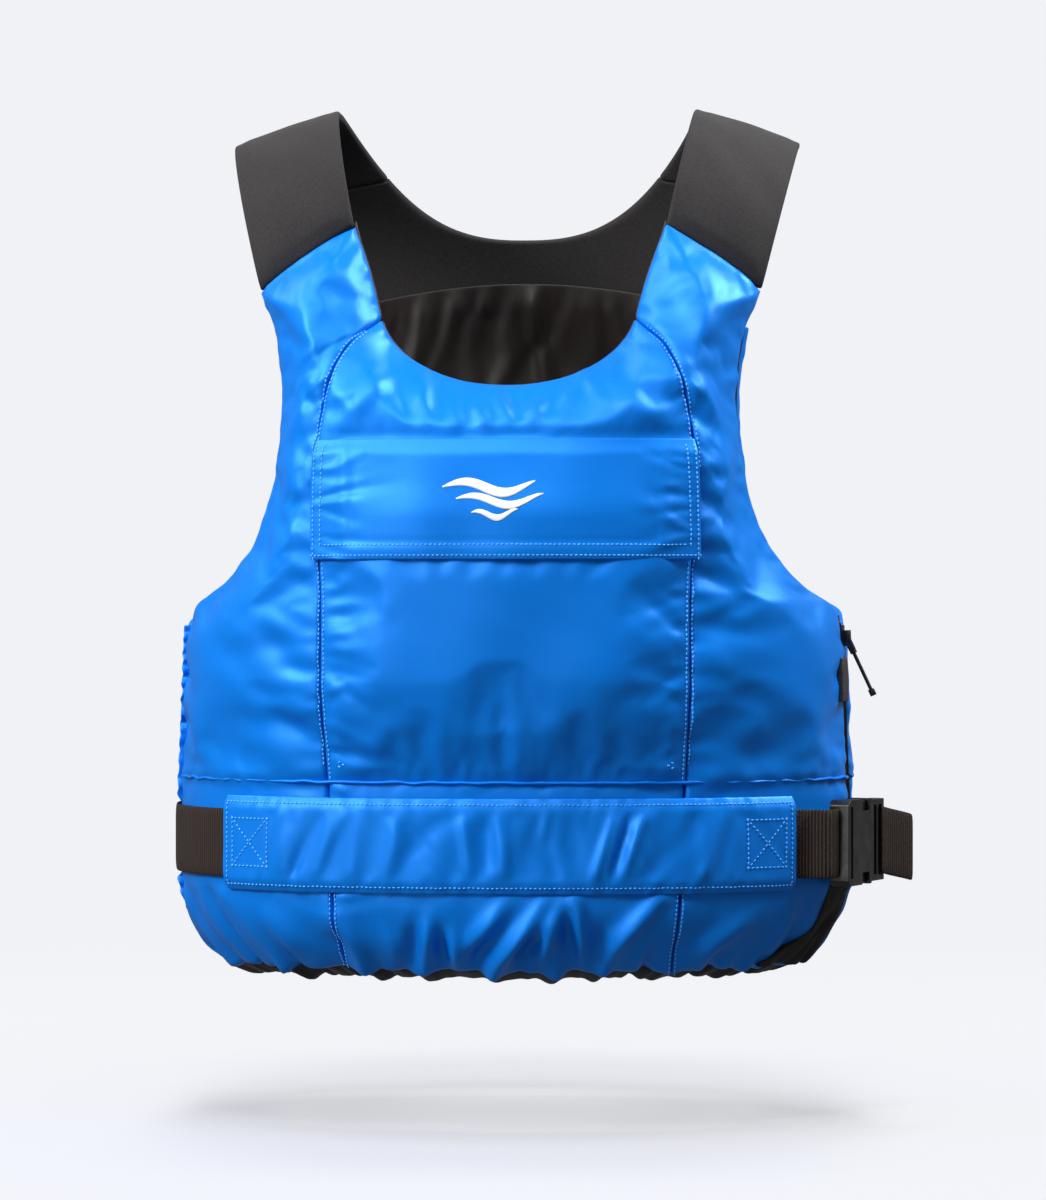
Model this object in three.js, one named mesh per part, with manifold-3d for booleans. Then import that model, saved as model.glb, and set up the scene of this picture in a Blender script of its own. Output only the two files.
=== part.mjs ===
// Sleeveless buoyancy vest with a side zip, a flapped front pocket and a waist belt.
// Millimetres, +Z up. The origin is the centre of the hem opening, on the torso axis.
// The chest faces -Y. The zip and the buckle are on the wearer's left, which is +X.
import * as THREE from 'three';
import Module from 'manifold-3d';
import { mergeVertices } from 'three/addons/utils/BufferGeometryUtils.js';

const wasm = await Module();
wasm.setup();

// ---------------------------------------------------------------- driving sizes
const GAP = 0.3;
const SEAM_GAP = 0.4;
const REST_GAP = 0.8;

const SECTION_POWER = 2.3;
const HEM_HALF_WIDTH = 148;
const WAIST_HALF_WIDTH = 192;
const ARMPIT_HALF_WIDTH = 186.5;
const CHEST_DEPTH = 112;
const BACK_DEPTH = 103;

const SKIN = 1.2;
const LINING = 1.2;
const EDGE_THICKNESS = 7;
const SIDE_THICKNESS = 10;
const FRONT_PAD = 26;
const BACK_PAD = 20;
const BELT_PAD_SHARE = 0.46;
const EDGE_FADE = 36;

const ARMPIT_Z = 205;
const NECK_LOW_Z = 342;
const NECK_CORNER_Z = 380;
const NECK_CORNER_X = 72.5;
const SHOULDER_IN_X = 90;
const SHOULDER_IN_Z = 436;
const SHOULDER_OUT_X = 144;
const SHOULDER_OUT_Z = 398;
const BACK_TOP_Z = 411;
const BACK_TOP_DROP = 9;
const BACK_TOP_DROP_X = 82;
const BACK_ARM_X = 136;
const BACK_SEAM_X = 98;
const SIDE_SEAM_Y = -22;

const STRAP_THICKNESS = 5;
const STRAP_TOP_Y = 10;
const STRAP_FLAT = 16;
const STRAP_IN_X = 105;
const STRAP_OUT_X = 166;
const STRAP_IN_Z = 511;
const STRAP_SLOPE = 0.34;
const BACK_NECK_Z = 442;
const ARCH_BASE_Z = 400;
const STRAP_SEAM_ANGLE = 44.7;

const HEM_HEIGHT = 8;

const POCKET_LOW_Z = 113.5;
const POCKET_TOP_Z = 288;
const POCKET_ROOM = 8.5;
const FLAP_LOW_Z = 241;
const FLAP_TOP_Z = 306;
const FLAP_THICKNESS = 1.6;
const HOOK_HALF_WIDTH = 28;
const HOOK_LOW_Z = 247;
const HOOK_HIGH_Z = 263;
const HOOK_THICKNESS = 1;

const BELT_Z = 77;
const WEBBING_WIDTH = 40;
const WEBBING_THICKNESS = 1.8;
const TUNNEL_LOW_Z = 50;
const TUNNEL_HIGH_Z = 105;
const TUNNEL_SKIN = 1.2;
const TUNNEL_HALF_X = 154;
const TUNNEL_EDGE = 5.5;
const WEBBING_INSIDE_X = 112;

const ZIP_CHANNEL = 6;
const ZIP_LOW_Z = 16;
const ZIP_HIGH_Z = 205;
const ZIP_TEETH_HALF = 2.4;
const ZIP_PITCH = 7;
const TOOTH_REACH = 0.9;
const ZIP_TAPE_LEVEL = 6;
const ZIP_TAPE_THICKNESS = 1;
const ZIP_TEETH_THICKNESS = 2.6;
const SLIDER_LENGTH = 22;
const SLIDER_WIDTH = 9.6;
const SLIDER_TOP_Z = 203;
const SLIDER_PLATE = 2;
const PULLER_LENGTH = 36;
const PULLER_RADIUS = 1.1;
const PULLER_TILT = 23;
const PIN_RADIUS = 0.9;

const BUCKLE_BEARING = 23;
const BUCKLE_STAND_OFF = 207.5;
const FEMALE_START = 0;
const FEMALE_LENGTH = 38;
const FEMALE_HEIGHT = 50;
const FEMALE_THICKNESS = 12;
const FEMALE_WALL = 2;
const MALE_LENGTH = 22;

const COLOURS = {
  blue: [0x0a7fe0, 0.45],
  blueDark: [0x0868c0, 0.5],
  neoprene: [0x3b3739, 0.85],
  lining: [0x2a2322, 0.5],
  foam: [0xd9d6cc, 0.9],
  webbing: [0x4a413e, 0.8],
  plastic: [0x141210, 0.4],
  tape: [0x1d1a1a, 0.8],
};

// ---------------------------------------------------------------- plan and profile curves
function curve(points, z) {
  const last = points.length - 1;
  if (z <= points[0][0]) return points[0][1];
  if (z >= points[last][0]) return points[last][1];
  let i = 0;
  while (points[i + 1][0] < z) i += 1;
  const slope = (k) => {
    if (k === 0) return (points[1][1] - points[0][1]) / (points[1][0] - points[0][0]);
    if (k === last) return (points[k][1] - points[k - 1][1]) / (points[k][0] - points[k - 1][0]);
    const before = (points[k][1] - points[k - 1][1]) / (points[k][0] - points[k - 1][0]);
    const after = (points[k + 1][1] - points[k][1]) / (points[k + 1][0] - points[k][0]);
    return before * after <= 0 ? 0 : (2 * before * after) / (before + after);
  };
  const h = points[i + 1][0] - points[i][0];
  const t = (z - points[i][0]) / h;
  const a = points[i][1];
  const b = points[i + 1][1];
  const ma = slope(i) * h;
  const mb = slope(i + 1) * h;
  const t2 = t * t;
  const t3 = t2 * t;
  return (2 * t3 - 3 * t2 + 1) * a + (t3 - 2 * t2 + t) * ma + (3 * t2 - 2 * t3) * b + (t3 - t2) * mb;
}

const lerp = (a, b, t) => a + (b - a) * t;
const clamp = (v, a, b) => Math.min(b, Math.max(a, v));
const smooth = (t) => {
  const c = clamp(t, 0, 1);
  return c * c * (3 - 2 * c);
};
const puff = (t) => 1 - (1 - clamp(t, 0, 1)) ** 2;

const sideLine = (z) => lerp(WAIST_HALF_WIDTH, ARMPIT_HALF_WIDTH, (z - 75) / (ARMPIT_Z - 75));
const HALF_WIDTHS = [
  [0, HEM_HALF_WIDTH],
  [6, HEM_HALF_WIDTH + 13],
  [12, HEM_HALF_WIDTH + 21],
  [24, WAIST_HALF_WIDTH - 12],
  [40, WAIST_HALF_WIDTH - 4.5],
  [54, WAIST_HALF_WIDTH - 1],
  [75, sideLine(75)],
  [118, sideLine(118)],
  [162, sideLine(162)],
  [ARMPIT_Z, ARMPIT_HALF_WIDTH],
  [250, ARMPIT_HALF_WIDTH - 5],
  [300, ARMPIT_HALF_WIDTH - 5],
  [360, ARMPIT_HALF_WIDTH],
  [440, ARMPIT_HALF_WIDTH + 9],
  [520, ARMPIT_HALF_WIDTH + 14],
];
const FRONT_DEPTHS = [
  [0, CHEST_DEPTH - 24],
  [10, CHEST_DEPTH - 14],
  [26, CHEST_DEPTH - 7],
  [50, CHEST_DEPTH - 3],
  [104, CHEST_DEPTH - 3],
  [200, CHEST_DEPTH],
  [290, CHEST_DEPTH],
  [340, CHEST_DEPTH - 5],
  [380, CHEST_DEPTH - 14],
  [410, CHEST_DEPTH - 23],
  [440, CHEST_DEPTH - 35],
  [520, CHEST_DEPTH - 72],
];
const BACK_DEPTHS = [
  [0, BACK_DEPTH - 25],
  [10, BACK_DEPTH - 15],
  [26, BACK_DEPTH - 8],
  [50, BACK_DEPTH - 5],
  [104, BACK_DEPTH - 5],
  [200, BACK_DEPTH],
  [300, BACK_DEPTH + 4],
  [360, BACK_DEPTH + 3],
  [BACK_TOP_Z, BACK_DEPTH - 5],
  [445, BACK_DEPTH - 15],
];
const halfWidth = (z) => curve(HALF_WIDTHS, z);
const depth = (z, front) => curve(front ? FRONT_DEPTHS : BACK_DEPTHS, z);

// The plan angle is 0 at the chest, a quarter turn at each side and a half turn at the back.
function angleAtX(x, z, front) {
  const s = Math.min(0.99999, Math.abs(x) / halfWidth(z)) ** (SECTION_POWER / 2);
  return front ? Math.asin(s) : Math.PI - Math.asin(s);
}
function angleAtY(y, z) {
  const front = y < 0;
  const c = (Math.abs(y) / depth(z, front)) ** (SECTION_POWER / 2);
  return front ? Math.acos(c) : Math.PI - Math.acos(c);
}
function surface(angle, z, out) {
  const side = angle < 0 ? -1 : 1;
  const p = Math.abs(angle);
  const front = p < Math.PI / 2;
  const c = Math.max(1e-9, Math.abs(Math.cos(p)));
  const s = Math.max(1e-9, Math.sin(p));
  const a = halfWidth(z);
  const b = depth(z, front);
  const x = a * s ** (2 / SECTION_POWER);
  const y = b * c ** (2 / SECTION_POWER) * (front ? -1 : 1);
  let nx = s ** (2 - 2 / SECTION_POWER) / a;
  let ny = (c ** (2 - 2 / SECTION_POWER) / b) * (front ? -1 : 1);
  const length = Math.hypot(nx, ny);
  nx /= length;
  ny /= length;
  return [side * (x + nx * out), y + ny * out, z];
}

// ---------------------------------------------------------------- seams and free edges
const PRINCESS = [
  [0, 90],
  [50, 94.5],
  [113, 97],
  [218, 96],
  [303, 99],
  [311, 98.2],
  [338, 94],
  [364, 86],
  [NECK_CORNER_Z, NECK_CORNER_X],
];
const NECK_SIDE = [
  [NECK_CORNER_Z, NECK_CORNER_X],
  [408, lerp(NECK_CORNER_X, SHOULDER_IN_X, 0.43)],
  [SHOULDER_IN_Z, SHOULDER_IN_X],
];
const ARM_FRONT = [
  [ARMPIT_Z, ARMPIT_HALF_WIDTH + 16],
  [213, 187],
  [227, 164],
  [251, 146],
  [290, 133.5],
  [337, 129],
  [370, 133],
  [SHOULDER_OUT_Z, SHOULDER_OUT_X],
];
const BACK_ARM_Z = BACK_TOP_Z - BACK_TOP_DROP * (BACK_ARM_X / BACK_TOP_DROP_X) ** 2;
const ARM_BACK = [
  [ARMPIT_Z, ARMPIT_HALF_WIDTH + 16],
  [213, 187],
  [227, 164],
  [251, 147],
  [290, 135],
  [337, 131],
  [365, 132.5],
  [BACK_ARM_Z, BACK_ARM_X],
];
const princess = (z) => curve(z <= NECK_CORNER_Z ? PRINCESS : NECK_SIDE, z);
const backTop = (x) => BACK_TOP_Z - BACK_TOP_DROP * (x / BACK_TOP_DROP_X) ** 2;
function neckHeight(x) {
  const t = Math.min(1, Math.abs(x) / (NECK_CORNER_X + 2));
  const full = 1 - Math.sqrt(1 - (NECK_CORNER_X / (NECK_CORNER_X + 2)) ** 2.2);
  const rise = (1 - Math.sqrt(Math.max(0, 1 - t ** 2.2))) / full;
  return lerp(NECK_LOW_Z, NECK_CORNER_Z, rise);
}

const ARC_SCALE = 150;
function sample(count, make) {
  return Array.from({ length: count + 1 }, (_, i) => make(i / count));
}
const frontPoint = (x, z) => [angleAtX(x, z, true) * ARC_SCALE, z];
const backPoint = (x, z) => [(Math.PI - angleAtX(x, z, false)) * ARC_SCALE, z];
const FRONT_EDGES = [
  ...sample(12, (t) => frontPoint(t * NECK_CORNER_X, neckHeight(t * NECK_CORNER_X))),
  ...sample(6, (t) => {
    const z = lerp(NECK_CORNER_Z, SHOULDER_IN_Z, t);
    return frontPoint(princess(z + 0.001), z);
  }),
  ...sample(6, (t) => {
    const z = lerp(SHOULDER_IN_Z, SHOULDER_OUT_Z, t);
    return frontPoint(lerp(SHOULDER_IN_X, SHOULDER_OUT_X, t), z);
  }),
  ...sample(20, (t) => {
    const z = lerp(SHOULDER_OUT_Z, ARMPIT_Z, t);
    return frontPoint(curve(ARM_FRONT, z), z);
  }),
];
const BACK_EDGES = [
  ...sample(12, (t) => backPoint(t * BACK_ARM_X, backTop(t * BACK_ARM_X))),
  ...sample(20, (t) => {
    const z = lerp(BACK_ARM_Z, ARMPIT_Z, t);
    return backPoint(curve(ARM_BACK, z), z);
  }),
];
function edgeDistance(angle, z) {
  const p = Math.abs(angle);
  const front = p < Math.PI / 2;
  const q = (front ? p : Math.PI - p) * ARC_SCALE;
  const edges = front ? FRONT_EDGES : BACK_EDGES;
  let best = 1e9;
  for (let i = 1; i < edges.length; i += 1) {
    const [ax, az] = edges[i - 1];
    const [bx, bz] = edges[i];
    const dx = bx - ax;
    const dz = bz - az;
    const l2 = dx * dx + dz * dz || 1;
    const t = clamp(((q - ax) * dx + (z - az) * dz) / l2, 0, 1);
    best = Math.min(best, Math.hypot(q - ax - t * dx, z - az - t * dz));
  }
  return best;
}
function thickness(angle, z) {
  const p = Math.abs(angle);
  const front = p < Math.PI / 2;
  const pad = front ? FRONT_PAD : BACK_PAD;
  const level = lerp(BELT_PAD_SHARE, 1, smooth((z - 112) / 32));
  const full = SIDE_THICKNESS + pad * (1 - Math.sin(p) ** 3.2) * level;
  const fade = puff(z / 45) * puff(edgeDistance(angle, z) / EDGE_FADE);
  return EDGE_THICKNESS + (full - EDGE_THICKNESS) * fade;
}
const outerSkin = (angle, z, out = 0) => surface(angle, z, thickness(angle, z) + out);

// ---------------------------------------------------------------- solid builders
function solid(vertices, triangles) {
  let volume = 0;
  for (const [a, b, c] of triangles) {
    const [ax, ay, az] = vertices[a];
    const [bx, by, bz] = vertices[b];
    const [cx, cy, cz] = vertices[c];
    volume += ax * (by * cz - bz * cy) - ay * (bx * cz - bz * cx) + az * (bx * cy - by * cx);
  }
  const faces = volume < 0 ? triangles.map(([a, b, c]) => [a, c, b]) : triangles;
  const geometry = new THREE.BufferGeometry();
  geometry.setAttribute('position', new THREE.Float32BufferAttribute(vertices.flat(), 3));
  geometry.setIndex(faces.flat());
  return geometry;
}
// A sheet solid: outer and inner point for each grid index pair, closed all round.
function sheet(nu, nv, outer, inner) {
  const vertices = [];
  const index = (i, j, layer) => (layer * (nv + 1) + j) * (nu + 1) + i;
  for (const make of [outer, inner]) {
    for (let j = 0; j <= nv; j += 1) {
      for (let i = 0; i <= nu; i += 1) vertices.push(make(i, j));
    }
  }
  const triangles = [];
  const quad = (a, b, c, d) => triangles.push([a, b, c], [a, c, d]);
  for (let j = 0; j < nv; j += 1) {
    for (let i = 0; i < nu; i += 1) {
      quad(index(i, j, 0), index(i + 1, j, 0), index(i + 1, j + 1, 0), index(i, j + 1, 0));
      quad(index(i, j, 1), index(i, j + 1, 1), index(i + 1, j + 1, 1), index(i + 1, j, 1));
    }
  }
  for (let i = 0; i < nu; i += 1) {
    quad(index(i, 0, 0), index(i, 0, 1), index(i + 1, 0, 1), index(i + 1, 0, 0));
    quad(index(i, nv, 0), index(i + 1, nv, 0), index(i + 1, nv, 1), index(i, nv, 1));
  }
  for (let j = 0; j < nv; j += 1) {
    quad(index(0, j, 0), index(0, j + 1, 0), index(0, j + 1, 1), index(0, j, 1));
    quad(index(nu, j, 0), index(nu, j, 1), index(nu, j + 1, 1), index(nu, j + 1, 0));
  }
  return solid(vertices, triangles);
}
const vest = new THREE.Group();
function add(name, geometry, look, matrix = null) {
  const [color, roughness] = COLOURS[look];
  geometry.deleteAttribute('normal');
  geometry.deleteAttribute('uv');
  const material = new THREE.MeshStandardMaterial({ color, roughness, metalness: 0 });
  const mesh = new THREE.Mesh(geometry, material);
  mesh.name = name;
  if (matrix) matrix.decompose(mesh.position, mesh.quaternion, mesh.scale);
  vest.add(mesh);
  return mesh;
}
function toManifold(geometry, matrix = null) {
  const copy = geometry.clone();
  if (matrix) copy.applyMatrix4(matrix);
  copy.deleteAttribute('normal');
  copy.deleteAttribute('uv');
  const merged = mergeVertices(copy, 1e-4);
  return new wasm.Manifold(new wasm.Mesh({
    numProp: 3,
    vertProperties: new Float32Array(merged.attributes.position.array),
    triVerts: new Uint32Array(merged.index.array),
  }));
}
function fromManifold(manifold) {
  const mesh = manifold.getMesh();
  const geometry = new THREE.BufferGeometry();
  geometry.setAttribute('position', new THREE.BufferAttribute(new Float32Array(mesh.vertProperties), 3));
  geometry.setIndex(new THREE.BufferAttribute(new Uint32Array(mesh.triVerts), 1));
  return geometry;
}
const box = (x0, x1, y0, y1, z0, z1) => toManifold(
  new THREE.BoxGeometry(x1 - x0, y1 - y0, z1 - z0),
  new THREE.Matrix4().makeTranslation((x0 + x1) / 2, (y0 + y1) / 2, (z0 + z1) / 2),
);

// ---------------------------------------------------------------- padded panels
// A panel is a grid of plan angle and height; each layer is offset from it.
function panel(name, grid, closed, foam) {
  const nu = grid.length - 1;
  const nv = grid[0].length - 1;
  const at = (i, j, out) => surface(grid[i][j][0], grid[i][j][1], out);
  const deep = (i, j) => thickness(grid[i][j][0], grid[i][j][1]);
  const rim = LINING + GAP;
  const skinIn = (i, j) => (closed(i, j, nu, nv) ? rim : deep(i, j) - SKIN);
  add(`${name}_shell`, sheet(nu, nv, (i, j) => at(i, j, deep(i, j)), (i, j) => at(i, j, skinIn(i, j))), 'blue');
  add(`${name}_lining`, sheet(nu, nv, (i, j) => at(i, j, LINING), (i, j) => at(i, j, 0)), 'lining');
  const [i0, i1, j0, j1] = foam(nu, nv);
  const padOut = (i, j) => at(i + i0, j + j0, deep(i + i0, j + j0) - SKIN - GAP);
  const padIn = (i, j) => at(i + i0, j + j0, rim);
  add(`${name}_foam`, sheet(i1 - i0, j1 - j0, padOut, padIn), 'foam');
}
const LOW_Z = HEM_HEIGHT + SEAM_GAP;
const FRONT_ROWS = [
  LOW_Z, 24, 50, 78, 111, 128, 148, ARMPIT_Z, 250, 290, 326, 354, 370, NECK_CORNER_Z,
];
const UPPER_ROWS = [408, SHOULDER_IN_Z];
const CENTRE_STEPS = [0, 0.08, 0.2, 0.35, 0.5, 0.65, 0.8, 0.92, 1];
const SIDE_STEPS = [0, 0.12, 0.26, 0.42, 0.58, 0.74, 0.9, 1];

function centreFront() {
  return CENTRE_STEPS.map((u) => {
    let top = NECK_CORNER_Z;
    for (let k = 0; k < 40; k += 1) top = lerp(top, neckHeight((2 * u - 1) * princess(top)), 0.5);
    return FRONT_ROWS.map((row) => {
      const z = LOW_Z + ((row - LOW_Z) / (NECK_CORNER_Z - LOW_Z)) * (top - LOW_Z);
      const half = princess(u === 0 || u === 1 ? row : z) - SEAM_GAP / 2;
      const x = (2 * u - 1) * half;
      return [Math.sign(x) * angleAtX(x, z, true), z];
    });
  });
}
function sideEdge(z, front, side) {
  const channel = side > 0 ? ZIP_CHANNEL : SEAM_GAP / 2;
  const seam = angleAtY(SIDE_SEAM_Y + (front ? -channel : channel), z);
  if (z <= ARMPIT_Z) return seam;
  const arm = angleAtX(curve(front ? ARM_FRONT : ARM_BACK, z), z, front);
  return front ? Math.min(seam, arm) : Math.max(seam, arm);
}
function sideFront(side) {
  const rows = [...FRONT_ROWS, ...UPPER_ROWS];
  return SIDE_STEPS.map((u) => rows.map((row) => {
    const share = (row - ARMPIT_Z) / (SHOULDER_IN_Z - ARMPIT_Z);
    const outerZ = row <= ARMPIT_Z ? row : lerp(ARMPIT_Z, SHOULDER_OUT_Z, share);
    const a = angleAtX(princess(row) + SEAM_GAP / 2, row, true);
    const b = sideEdge(outerZ, true, side);
    return [side * lerp(a, b, u), lerp(row, outerZ, u)];
  }));
}
const BACK_ROWS = [0, 0.04, 0.105, 0.175, 0.272, 0.37, 0.49, 0.62, 0.76, 0.88, 0.96, 1];
const backRow = (share, top) => {
  const belt = LOW_Z + share * (BACK_ARM_Z - LOW_Z);
  return share <= 0.49 ? belt : lerp(LOW_Z + 0.49 * (BACK_ARM_Z - LOW_Z), top, (share - 0.49) / 0.51);
};
function centreBack() {
  return CENTRE_STEPS.map((u) => BACK_ROWS.map((share) => {
    const x = (1 - 2 * u) * (BACK_SEAM_X - SEAM_GAP / 2);
    const z = backRow(share, backTop(x));
    return [Math.sign(x || 1) * angleAtX(x, z, false), z];
  }));
}
function sideBack(side) {
  return SIDE_STEPS.map((u) => BACK_ROWS.map((share) => {
    const innerZ = backRow(share, backTop(BACK_SEAM_X));
    const outerZ = backRow(share, BACK_ARM_Z);
    const a = angleAtX(BACK_SEAM_X + SEAM_GAP / 2, innerZ, false);
    const b = sideEdge(outerZ, false, side);
    return [side * lerp(a, b, u), lerp(innerZ, outerZ, u)];
  }));
}
const whole = (nu, nv) => [1, nu - 1, 1, nv - 1];
panel('front_centre', centreFront(), (i, j, nu, nv) => j === 0 || j === nv, whole);
panel('back_centre', centreBack(), (i, j, nu, nv) => j === 0 || j === nv, whole);
const CORNER_ROW = FRONT_ROWS.length - 1;
const ARMPIT_ROW = FRONT_ROWS.indexOf(ARMPIT_Z);
const BACK_ARMPIT_ROW = BACK_ROWS.indexOf(0.49);
for (const [label, side] of [['right', -1], ['left', 1]]) {
  const zip = side > 0;
  const frontClosed = (i, j, nu, nv) => j === 0 || j === nv
    || (i === nu && (zip || j >= ARMPIT_ROW)) || (i === 0 && j >= CORNER_ROW);
  const backClosed = (i, j, nu, nv) => j === 0 || j === nv || (i === nu && (zip || j >= BACK_ARMPIT_ROW));
  panel(`front_side_${label}`, sideFront(side), frontClosed, whole);
  panel(`back_side_${label}`, sideBack(side), backClosed, whole);
}

// ---------------------------------------------------------------- shoulder straps and yoke
const STRAP_LOW = (EDGE_THICKNESS - STRAP_THICKNESS);
const topHeight = (x, lift) => STRAP_IN_Z - (x - STRAP_IN_X) * STRAP_SLOPE + lift;
// A point on the back of the neck or strap, from its place across and its height.
function overBack(x, z, out) {
  const lift = (out - STRAP_LOW - STRAP_THICKNESS / 2);
  const p = surface(angleAtX(x, Math.min(z, ARCH_BASE_Z), false), Math.min(z, ARCH_BASE_Z), out);
  if (z <= ARCH_BASE_Z) return [p[0], p[1], z];
  const reach = topHeight(p[0], lift) - ARCH_BASE_Z;
  const rise = clamp((z - ARCH_BASE_Z) / reach, 0, 1);
  const from = STRAP_TOP_Y + STRAP_FLAT / 2;
  return [p[0], from + (p[1] - from) * Math.sqrt(1 - rise * rise), z];
}
const OUTER_BACK = [
  [BACK_ARM_Z, BACK_ARM_X],
  [420, 141],
  [450, 152],
  [STRAP_IN_Z - (STRAP_OUT_X - STRAP_IN_X) * STRAP_SLOPE, STRAP_OUT_X],
];
const neckBackX = (z) => STRAP_IN_X * clamp((z - BACK_NECK_Z) / (STRAP_IN_Z - BACK_NECK_Z), 0, 1) ** 0.385;
const STRAP_OUT_Z = STRAP_IN_Z - (STRAP_OUT_X - STRAP_IN_X) * STRAP_SLOPE;
function backLane(w, degrees) {
  const s = Math.sin(THREE.MathUtils.degToRad(degrees));
  const zIn = lerp(ARCH_BASE_Z, STRAP_IN_Z, s);
  const zOut = lerp(ARCH_BASE_Z, STRAP_OUT_Z, s);
  return [lerp(neckBackX(zIn), curve(OUTER_BACK, zOut), w), lerp(zIn, zOut, w)];
}
const LANES = [0, 0.05, 0.3, 0.5, 0.7, 0.95, 1];
const FRONT_ANGLES = [0, 14, 28, 42, 54, 66, 78, 90];
const BACK_ANGLES = [90, 80, 70, 60, 52, STRAP_SEAM_ANGLE];
const FRONT_SWELL = 1.7;
function strapPoint(i, j, out) {
  const w = LANES[i];
  const lift = (out - STRAP_LOW - STRAP_THICKNESS / 2);
  const topX = surface(angleAtX(lerp(STRAP_IN_X, STRAP_OUT_X, w), ARCH_BASE_Z, false), ARCH_BASE_Z, out)[0];
  const topZ = topHeight(topX, lift);
  if (j < FRONT_ANGLES.length) {
    const zBase = lerp(SHOULDER_IN_Z, SHOULDER_OUT_Z, w);
    const angle = lerp(
      angleAtX(princess(SHOULDER_IN_Z) + SEAM_GAP / 2, SHOULDER_IN_Z, true),
      sideEdge(SHOULDER_OUT_Z, true, -1),
      w,
    );
    const base = surface(angle, zBase, out);
    base[2] = zBase + SEAM_GAP;
    const t = THREE.MathUtils.degToRad(FRONT_ANGLES[j]);
    const c = Math.max(0, Math.cos(t)) ** (2 / FRONT_SWELL);
    const s = Math.sin(t) ** (2 / FRONT_SWELL);
    const to = STRAP_TOP_Y - STRAP_FLAT / 2;
    const rise = j === FRONT_ANGLES.length - 1 ? 1 : s;
    const y = to - (to - base[1]) * (rise === 1 ? 0 : c);
    return [lerp(base[0], topX, rise), y, lerp(base[2], topZ, rise)];
  }
  const k = j - FRONT_ANGLES.length;
  if (k === 0) return [topX, STRAP_TOP_Y + STRAP_FLAT / 2, topZ];
  const [x, z] = backLane(w, BACK_ANGLES[k]);
  const drop = (STRAP_IN_Z + lift - ARCH_BASE_Z) / (STRAP_IN_Z - ARCH_BASE_Z);
  const seat = k === BACK_ANGLES.length - 1 ? SEAM_GAP : 0;
  return overBack(x, ARCH_BASE_Z + (z - ARCH_BASE_Z) * drop + seat, out);
}
const mirror = (p, side) => [side * p[0], p[1], p[2]];
const STRAP_ROWS = FRONT_ANGLES.length + BACK_ANGLES.length - 1;
for (const [label, side] of [['right', -1], ['left', 1]]) {
  add(`shoulder_strap_${label}`, sheet(
    LANES.length - 1,
    STRAP_ROWS,
    (i, j) => mirror(strapPoint(i, j, EDGE_THICKNESS), side),
    (i, j) => mirror(strapPoint(i, j, STRAP_LOW), side),
  ), 'neoprene');
}
const YOKE_STEPS = [0, 0.12, 0.24, 0.36, 0.48, 0.56, 0.66, 0.78, 0.9, 1];
const YOKE_CORNER = 0.56;
const YOKE_ACROSS = [0, 0.25, 0.5, 0.75, 1];
function yokePoint(t, v, out) {
  const seamIn = backLane(0, STRAP_SEAM_ANGLE);
  const seamOut = backLane(1, STRAP_SEAM_ANGLE);
  const nx = seamIn[0] * Math.sin((t * Math.PI) / 2);
  const nz = t === 1 ? seamIn[1] : BACK_NECK_Z + (STRAP_IN_Z - BACK_NECK_Z) * (nx / STRAP_IN_X) ** 2.6;
  let ox = BACK_ARM_X * (t / YOKE_CORNER);
  let oz = backTop(ox) + SEAM_GAP;
  if (t > YOKE_CORNER) {
    const s = (t - YOKE_CORNER) / (1 - YOKE_CORNER);
    oz = lerp(BACK_ARM_Z + SEAM_GAP, seamOut[1], s);
    ox = curve(OUTER_BACK, oz);
  }
  const lift = (out - STRAP_LOW - STRAP_THICKNESS / 2);
  const stretch = (STRAP_IN_Z + lift - ARCH_BASE_Z) / (STRAP_IN_Z - ARCH_BASE_Z);
  const z = lerp(oz, nz, v);
  return overBack(lerp(ox, nx, v), z <= ARCH_BASE_Z ? z : ARCH_BASE_Z + (z - ARCH_BASE_Z) * stretch, out);
}
const YOKE_ALONG = [...YOKE_STEPS.slice(1).reverse().map((t) => -t), ...YOKE_STEPS];
add('back_yoke', sheet(
  YOKE_ALONG.length - 1,
  YOKE_ACROSS.length - 1,
  (i, j) => mirror(yokePoint(Math.abs(YOKE_ALONG[i]), YOKE_ACROSS[j], EDGE_THICKNESS), YOKE_ALONG[i] < 0 ? -1 : 1),
  (i, j) => mirror(yokePoint(Math.abs(YOKE_ALONG[i]), YOKE_ACROSS[j], STRAP_LOW), YOKE_ALONG[i] < 0 ? -1 : 1),
), 'neoprene');

// ---------------------------------------------------------------- hem binding, open at the zip
const HEM_ROWS = [0, HEM_HEIGHT / 2, HEM_HEIGHT];
const HEM_COUNT = 44;
function hemPoint(i, j, out) {
  const z = HEM_ROWS[j];
  const start = angleAtY(SIDE_SEAM_Y + ZIP_CHANNEL, HEM_HEIGHT);
  const end = angleAtY(SIDE_SEAM_Y - ZIP_CHANNEL, HEM_HEIGHT);
  let a = lerp(start, 2 * Math.PI + end, i / HEM_COUNT);
  if (a > Math.PI) a -= 2 * Math.PI;
  return surface(a, z, out);
}
add('hem_binding', sheet(
  HEM_COUNT,
  HEM_ROWS.length - 1,
  (i, j) => hemPoint(i, j, EDGE_THICKNESS),
  (i, j) => hemPoint(i, j, 0),
), 'tape');

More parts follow.
